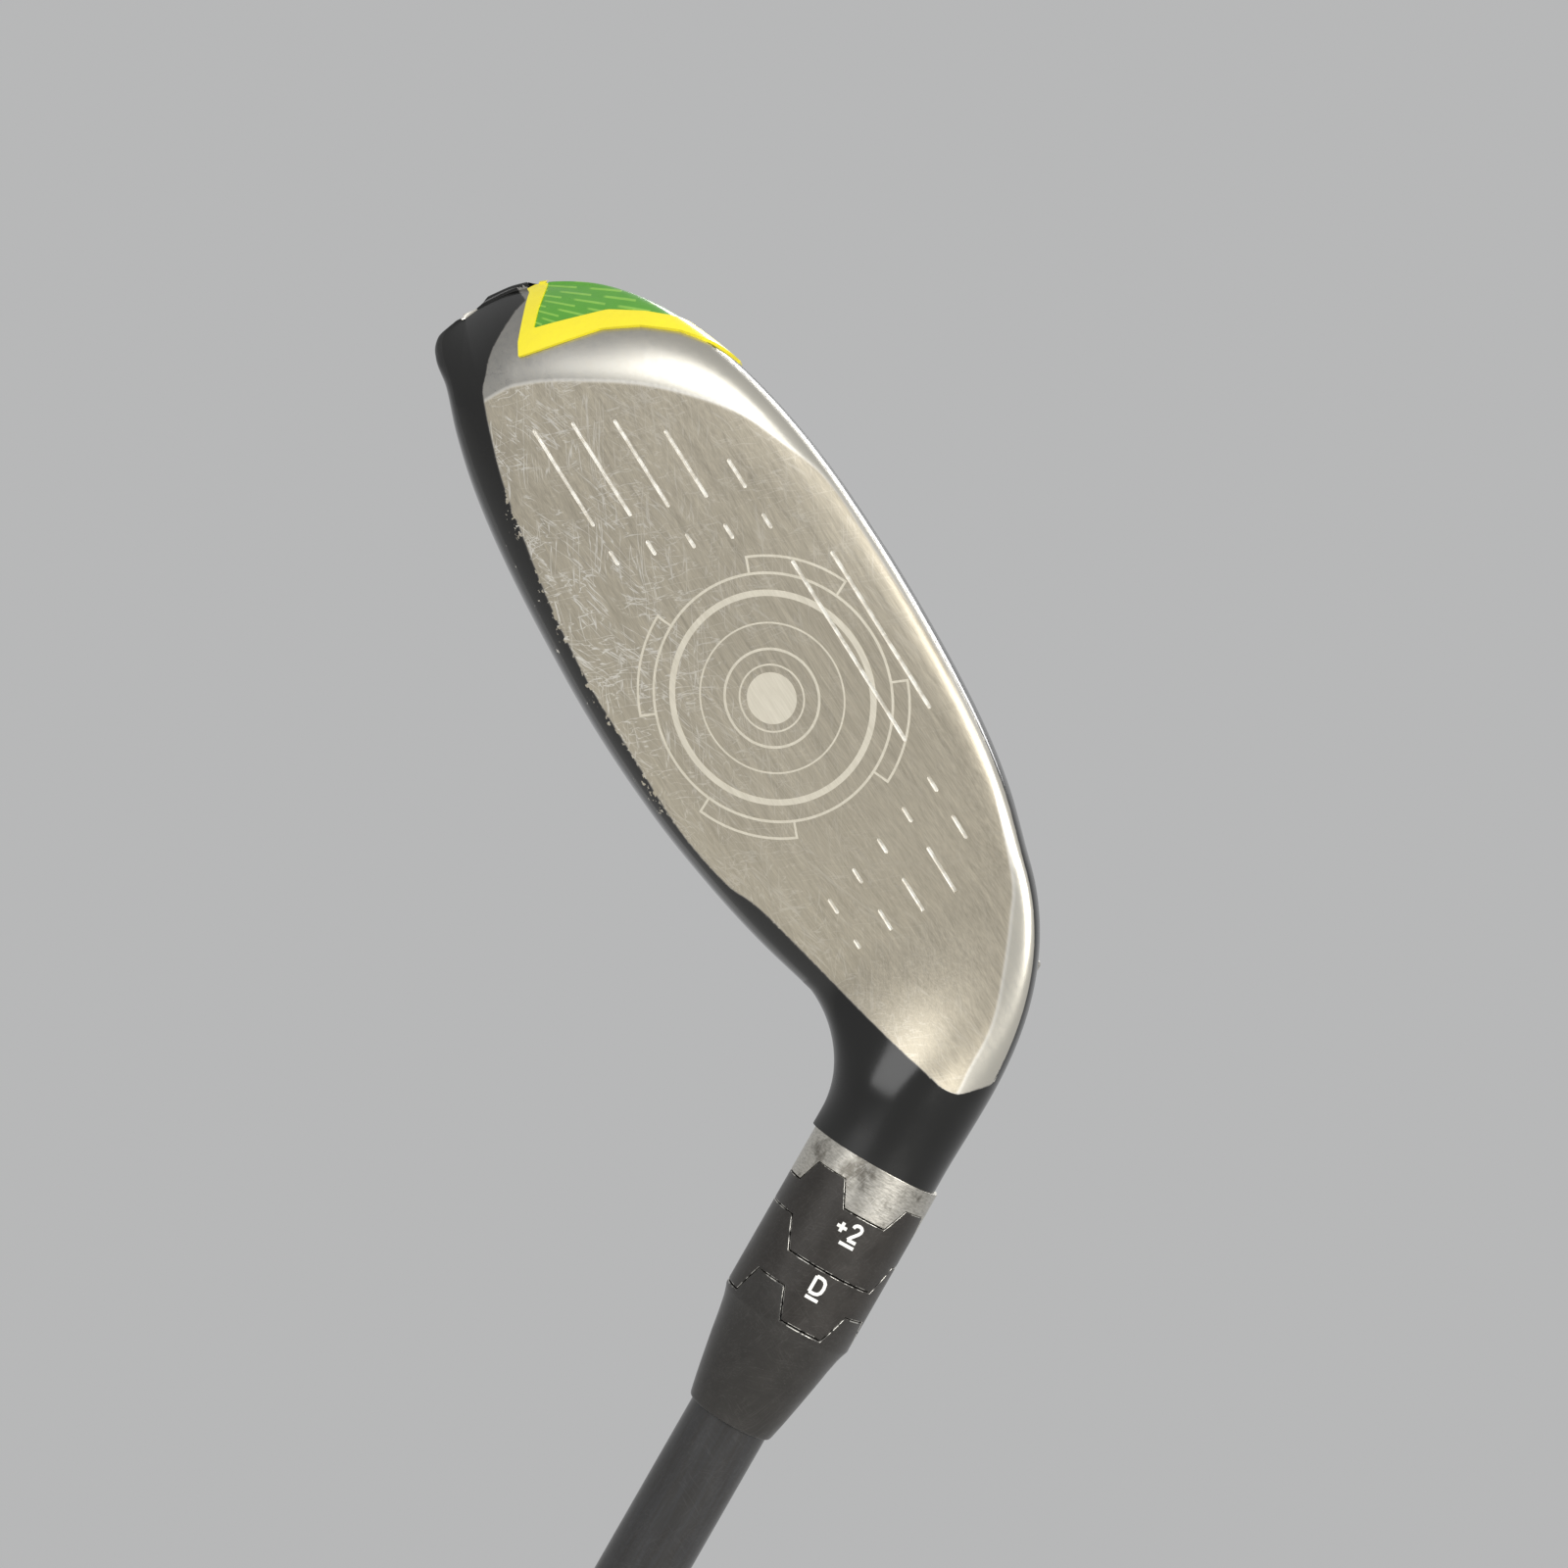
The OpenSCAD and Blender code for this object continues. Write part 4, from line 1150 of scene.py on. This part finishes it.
def headSkinNodes(n):
    place = n.headPlace()
    u, steel, band = n.attr("toeward"), n.attr("steel"), n.attr("band")
    grain = n.use("linearGrain", Place=place, Scale=1.1, Strength=1.0)
    marksToe = n.ramp(u, -14.0, 20.0, 0.25, 1.0)
    marksTop = n.ramp(n.attr("upward"), 14.0, 31.0, 0.25, 1.0)
    hair = n.use("hairScratches", Place=place, Scale=0.5, Amount=n.times(marksToe, marksTop))
    mottle = n.use("surfaceMottle", Place=place, Scale=0.16)
    topWear = n.times(n.ramp(u, -9.0, -3.0), n.ramp(u, 33.0, 38.0, 1.0, 0.0))
    heelWear = n.times(n.ramp(u, -52.0, -46.5, 1.0, 0.0), n.ramp(n.attr("upward"), 14.0, 27.0, 1.0, 0.0))
    wear = n.plus(n.math("MAXIMUM", n.times(topWear, 0.55), n.times(heelWear, 1.5)), 0.05)
    edge = n.use("paintEdge", Place=place, Distance=steel, Amount=wear)
    bandMask = n.ramp(band, -0.05, 0.12)
    # painted highlight: a bright line along the edge of the face's flat, where the band begins
    paintedCreaseHighlight = n.ramp(n.math("ABSOLUTE", n.minus(band, 0.1)), 0.0, 0.35, 1.0, 0.0)
    face = n.mix(grain["Value"], look["steelDeep"], look["steel"])
    face = n.mix(n.times(mottle["Value"], 0.15), face, (0.66, 0.61, 0.50, 1))
    face = n.mix(n.times(hair["Mask"], 0.85), face, look["scratchAndHighlight"])
    # the band's own satin steel colour, darkening into painted shade towards the toe
    satinToShade = n.mix(n.ramp(u, 30.0, 50.0), look["bandSteel"], look["bandToeShade"])
    metal = n.mix(bandMask, face, n.mix(n.times(grain["Value"], 0.25), satinToShade, look["steel"]))
    metal = n.mix(n.times(paintedCreaseHighlight, 0.6), metal, look["scratchAndHighlight"])
    metal = n.mix(n.times(n.attr("groove"), n.ramp(n.noise(place, 0.9, 2.0), 0.35, 0.6, 0.45, 0.95)),
        metal, (0.90, 0.88, 0.82, 1))
    metal = n.mix(n.times(n.times(edge["Rim"], 0.7), edge["Mask"]), metal, (0.33, 0.31, 0.28, 1))
    paint = n.mix(n.times(mottle["Specks"], 0.5), look["paint"], look["paintDust"])
    paint = n.mix(n.times(n.times(edge["Rim"], 0.5), n.minus(1.0, edge["Mask"])), paint,
        (0.16, 0.155, 0.145, 1))
    n.set("Base Color", n.mix(edge["Mask"], paint, metal))
    n.set("Metallic", n.times(edge["Mask"], n.minus(0.94, n.times(n.attr("groove"), 0.5))))
    rough = n.plus(0.40, n.times(grain["Value"], 0.10))
    rough = n.minus(rough, n.times(bandMask, 0.09))
    rough = n.minus(rough, n.times(hair["Mask"], 0.08))
    paintRough = n.plus(n.ramp(n.attr("upward"), 30.0, 44.0, 0.13, 0.42), n.times(mottle["Value"], 0.07))
    mixR = n.plus(n.times(rough, edge["Mask"]), n.times(paintRough, n.minus(1.0, edge["Mask"])))
    n.set("Roughness", mixR)
    height = n.plus(n.times(n.times(grain["Height"], edge["Mask"]), 0.55),
                    n.times(hair["Mask"], -0.25))
    height = n.minus(height, n.times(edge["Mask"], 1.6))
    n.set("Normal", n.bump(height, 0.8))


headSkin = finish("headSkin", headSkinNodes, Coat_Weight=0.0, Coat_Roughness=0.08)


def crownNodes(n):
    place = n.headPlace()
    mottle = n.use("surfaceMottle", Place=place, Scale=0.35)
    front = n.minus(n.times(n.minus(n.attr("roundward"), 4.75), -7.0), 0.5)
    u = n.attr("toeward")
    wear = n.times(n.ramp(u, -9.0, -3.0), n.ramp(u, 33.0, 38.0, 1.0, 0.0))
    edge = n.use("paintEdge", Place=place, Distance=front, Amount=n.times(wear, 0.8))
    hair = n.use("hairScratches", Place=place, Scale=1.3, Amount=0.5)
    back = n.ramp(n.attr("roundward"), 9.83, 9.9)
    col = n.mix(n.times(mottle["Specks"], 0.35), look["paint"], look["paintDust"])
    col = n.mix(n.times(hair["Mask"], 0.12), col, (0.2, 0.2, 0.19, 1))
    col = n.mix(edge["Mask"], col, look["chip"])
    n.set("Base Color", n.mix(n.times(back, 0.7), col, (0.002, 0.002, 0.002, 1)))
    n.set("Metallic", n.times(edge["Mask"], 0.9))
    n.set("Roughness", n.plus(n.plus(0.10, n.times(mottle["Value"], 0.05)), n.times(edge["Mask"], 0.25)))
    n.set("Normal", n.bump(n.minus(n.times(mottle["Height"], 0.25), n.times(edge["Mask"], 1.5)), 0.6))


crownPaint = finish("crownPaint", crownNodes, Coat_Weight=0.25, Coat_Roughness=0.05)


def etchNodes(n):
    place = n.headPlace()
    grain = n.use("linearGrain", Place=place, Scale=1.4, Strength=1.0)
    n.set("Base Color", n.mix(grain["Value"], (0.72, 0.67, 0.55, 1), (0.84, 0.79, 0.67, 1)))
    n.set("Roughness", n.plus(0.44, n.times(grain["Value"], 0.12)))
    n.set("Normal", n.bump(grain["Height"], 0.6))


etchedSteel = finish("etchedSteel", etchNodes, Metallic=0.75)


def badgeNodes(n):
    place = n.headPlace()
    rays = n.use("diagonalRays", Along=n.attr("toeward"), Across=n.attr("upward"), Amount=1.0)
    mottle = n.use("surfaceMottle", Place=place, Scale=0.8)
    col = n.mix(n.times(rays["Mask"], 0.75), look["green"], look["greenLight"])
    col = n.mix(n.times(mottle["Value"], 0.25), col, (0.05, 0.25, 0.02, 1))
    n.set("Base Color", n.mix(mottle["Specks"], col, (0.3, 0.4, 0.22, 1)))
    n.set("Roughness", n.plus(0.26, n.times(mottle["Value"], 0.12)))
    n.set("Normal", n.bump(n.plus(mottle["Height"], n.times(rays["Mask"], 1.2)), 0.5, 0.00002))


badgeGreen = finish("badgeGreen", badgeNodes, Coat_Weight=0.5, Coat_Roughness=0.12)


def rimNodes(n):
    place = n.headPlace()
    mottle = n.use("surfaceMottle", Place=place, Scale=0.9)
    col = n.mix(n.times(mottle["Value"], 0.35), look["yellow"], (0.80, 0.66, 0.02, 1))
    n.set("Base Color", n.mix(mottle["Specks"], col, (0.42, 0.36, 0.08, 1)))
    n.set("Roughness", n.plus(0.30, n.times(mottle["Value"], 0.15)))
    n.set("Normal", n.bump(mottle["Height"], 0.5, 0.00002))


rimYellow = finish("rimYellow", rimNodes, Coat_Weight=0.35, Coat_Roughness=0.15)


def ringNodes(base, wornTo, metal, rough):
    def build(n):
        place = n.place()
        mottle = n.use("surfaceMottle", Place=place, Scale=0.5)
        hair = n.use("hairScratches", Place=place, Scale=1.2, Amount=0.8)
        worn = n.times(n.attr("edgeWear"), n.ramp(n.noise(place, 1.1, 3.0), 0.40, 0.56))
        col = n.mix(n.times(mottle["Value"], 0.35), base, tuple(c * 1.7 for c in base[:3]) + (1,))
        col = n.mix(n.times(hair["Mask"], 0.1), col, (0.22, 0.21, 0.2, 1))
        col = n.mix(n.times(mottle["Specks"], 0.5), col, (0.28, 0.27, 0.25, 1))
        n.set("Base Color", n.mix(worn, col, wornTo))
        n.set("Metallic", n.plus(metal, n.times(worn, (0.9 - metal))))
        n.set("Roughness", n.plus(rough, n.times(mottle["Value"], 0.12)))
        n.set("Normal", n.bump(n.minus(n.times(mottle["Height"], 0.6), worn), 0.6))
    return build


cogBlack = finish("cogBlack", ringNodes(look["cog"], (0.70, 0.68, 0.63, 1), 0.25, 0.30), Coat_Weight=0.15,
    Coat_Roughness=0.2)
ferruleBlack = finish("ferruleBlack", ringNodes((0.021, 0.019, 0.0165, 1), (0.55, 0.54, 0.50, 1), 0.1,
    0.30), Coat_Weight=0.2, Coat_Roughness=0.2)


def turnedMetal(low, high, rough, stretchBy=(1.0, 1.0, 7.0), dark=(0.18, 0.16, 0.13, 1), darkAmount=0.25):
    def build(n):
        place = n.place()
        lines = n.noise(n.stretch(place, stretchBy), 1.3, 4.0, 0.6)
        mottle = n.use("surfaceMottle", Place=place, Scale=0.3)
        hair = n.use("hairScratches", Place=place, Scale=1.4, Amount=0.9)
        col = n.mix(n.ramp(lines, 0.35, 0.65, 0.0, 1.0, False), low, high)
        col = n.mix(n.times(n.ramp(mottle["Value"], 0.55, 0.9), darkAmount), col, dark)
        n.set("Base Color", n.mix(n.times(hair["Mask"], 0.35), col, (0.9, 0.88, 0.84, 1)))
        n.set("Roughness", n.plus(rough, n.times(lines, 0.16)))
        n.set("Normal", n.bump(lines, 0.5))
    return build


bareSteel = finish("bareSteel", turnedMetal((0.46, 0.44, 0.39, 1), (0.70, 0.67, 0.60, 1), 0.24,
    (1.0, 1.0, 5.0), (0.14, 0.125, 0.10, 1), 0.75), Metallic=1.0)
sleeveMetal = finish("sleeveMetal", turnedMetal((0.42, 0.43, 0.45, 1), (0.55, 0.56, 0.58, 1), 0.26),
    Metallic=1.0)
screwMetal = finish("screwMetal", turnedMetal((0.10, 0.10, 0.105, 1), (0.20, 0.20, 0.21, 1), 0.26),
    Metallic=0.9)
innerSteel = finish("innerSteel", turnedMetal((0.45, 0.44, 0.42, 1), (0.58, 0.57, 0.55, 1), 0.34,
    (1, 1, 1)), Metallic=1.0)
weightMetal = finish("weightMetal", turnedMetal((0.28, 0.28, 0.29, 1), (0.38, 0.38, 0.39, 1), 0.42,
    (2, 2, 2)), Metallic=0.95)


def plain(base, other, rough, scale, height, spread=0.00005):
    def build(n):
        place = n.place()
        mottle = n.use("surfaceMottle", Place=place, Scale=scale)
        col = n.mix(mottle["Value"], base, other)
        n.set("Base Color", n.mix(n.times(mottle["Specks"], 0.3), col,
            tuple(min(1, c * 1.8 + 0.02) for c in base[:3]) + (1,)))
        n.set("Roughness", n.plus(rough, n.times(mottle["Value"], 0.12)))
        n.set("Normal", n.bump(n.times(mottle["Height"], height), 0.6, spread))
    return build


gripRubber = finish("gripRubber", plain((0.010, 0.010, 0.010, 1), (0.022, 0.022, 0.021, 1), 0.62, 0.8, 1.0))
capRubber = finish("capRubber", plain((0.012, 0.012, 0.012, 1), (0.020, 0.020, 0.020, 1), 0.42, 0.5, 0.5))
tapePaper = finish("tapePaper", plain((0.62, 0.55, 0.40, 1), (0.72, 0.66, 0.52, 1), 0.72, 0.6, 1.0))
plugFoam = finish("plugFoam", plain((0.60, 0.50, 0.30, 1), (0.74, 0.64, 0.42, 1), 0.8, 1.4, 1.5))
whiteNylon = finish("whiteNylon", plain((0.72, 0.72, 0.68, 1), (0.80, 0.80, 0.77, 1), 0.42, 0.7, 0.4))
markWhite = finish("markWhite", plain((0.74, 0.73, 0.69, 1), (0.88, 0.87, 0.84, 1), 0.45, 1.6, 0.8, 0.00001))


def shaftNodes(n):
    place = n.place()
    mottle = n.use("surfaceMottle", Place=place, Scale=0.25)
    weave = n.noise(n.stretch(place, (2.2, 2.2, 0.18)), 1.0, 4.0, 0.6)
    hair = n.use("hairScratches", Place=place, Scale=0.9, Amount=0.7)
    col = n.mix(n.ramp(weave, 0.36, 0.64, 0.0, 1.0, False), look["shaft"], (0.026, 0.026, 0.027, 1))
    n.set("Base Color", n.mix(n.times(hair["Mask"], 0.08), col, (0.2, 0.2, 0.2, 1)))
    n.set("Roughness", n.plus(0.30, n.times(mottle["Value"], 0.10)))
    n.set("Normal", n.bump(weave, 0.35))


shaftPaint = finish("shaftPaint", shaftNodes, Coat_Weight=0.3, Coat_Roughness=0.18)
finishes = [
    (headSkin, [faceCup, rearShell, neckShell], []), (crownPaint, [crownShell], ["head_body", "crown_shell"]),
    (etchedSteel, [targetRings], ["face_cup"]), (badgeGreen, [toeBadge], ["toe_badge"]),
    (rimYellow, [rimFrame], ["badge_rim"]), (cogBlack, [loftRing, lieRing], ["lie_cog", "loft_cog"]),
    (ferruleBlack, [ferrule], ["ferrule"]), (bareSteel, [hoselRing, hoselLiner], ["hosel_tube"]),
    (sleeveMetal, [sleeve], ["adapter_sleeve"]), (screwMetal, [screw, screwHead], ["adapter_screw"]),
    (whiteNylon, [retainer], ["screw_retainer"]), (plugFoam, [plug], ["tip_plug"]),
    (shaftPaint, [shaft], ["shaft"]), (gripRubber, [grip], ["grip"]), (capRubber, [cap], ["grip_cap"]),
    (tapePaper, [tape], ["grip_tape"]), (innerSteel, [postToe, postHeel], ["post_toe", "post_heel"]),
    (weightMetal, [weight], ["inner_weight"]), (markWhite, [loftMark, lieMark], []),
]
for material, objects, nodes in finishes:
    dress(objects + [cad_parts[name] for name in nodes], material)
print("materials made")

stageLook = {
    "floorRadius": 1.6, "camera": (-0.02995, -0.337, 1.0112), "aim": (-0.02995, -0.007, 1.0112),
    "lens": 69.0, "roll": 29.8,
}
bpy.ops.mesh.primitive_circle_add(vertices=96, radius=stageLook["floorRadius"], fill_type="NGON",
    location=(0, 0, 0))
floor = bpy.context.object
floor.name = "floorDisc"


def floorNodes(n):
    m = n.noise(n.place(), 0.02, 3.0)
    n.set("Base Color", n.mix(m, (0.80, 0.80, 0.79, 1), (0.86, 0.86, 0.85, 1)))


dress([floor], finish("floorPale", floorNodes, Roughness=0.8))
floor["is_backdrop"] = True
world = bpy.data.worlds.new("paleRoom")
world.use_nodes = True
world.node_tree.nodes["Background"].inputs[0].default_value = (0.95, 0.955, 0.96, 1)
world.node_tree.nodes["Background"].inputs[1].default_value = 0.5
scene.world = world
scene.view_settings.view_transform = "Standard"


camData = bpy.data.cameras.new("camera")
camera = addObject("camera", camData)
scene.camera = camera
camData.lens = stageLook["lens"]
camData.sensor_width = 36.0
camData.clip_start, camData.clip_end = 0.01, 20.0
way = Vector(stageLook["aim"]) - Vector(stageLook["camera"])
back = -way.normalized()
rollBy = math.radians(stageLook["roll"])
up = Vector((math.sin(rollBy) * -1.0, 0, math.cos(rollBy)))
right = up.cross(back).normalized()
up = back.cross(right).normalized()
camera.matrix_world = Matrix((
    (right.x, up.x, back.x, stageLook["camera"][0]), (right.y, up.y, back.y, stageLook["camera"][1]),
    (right.z, up.z, back.z, stageLook["camera"][2]), (0, 0, 0, 1)))


def softBox(name, spot, target, size, power, colour=(1, 1, 1)):
    d = bpy.data.lights.new(name, "AREA")
    d.shape, d.size, d.size_y = "RECTANGLE", size[0], size[1]
    d.energy, d.color = power, colour
    o = addObject(name, d)
    o.location = spot
    o.rotation_euler = (Vector(target) - Vector(spot)).to_track_quat("-Z", "Y").to_euler()


middle = (-0.03, 0.0, 1.01)
softBox("keyLight", (0.75, -0.85, 1.45), middle, (0.9, 0.7), 15.0, (1.0, 0.985, 0.95))
softBox("fillLight", (-0.7, -0.9, 1.35), middle, (0.8, 0.8), 6.0)
softBox("backLight", (0.1, 0.9, 1.7), middle, (0.8, 0.4), 7.0)
print("stage made")

low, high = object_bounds()
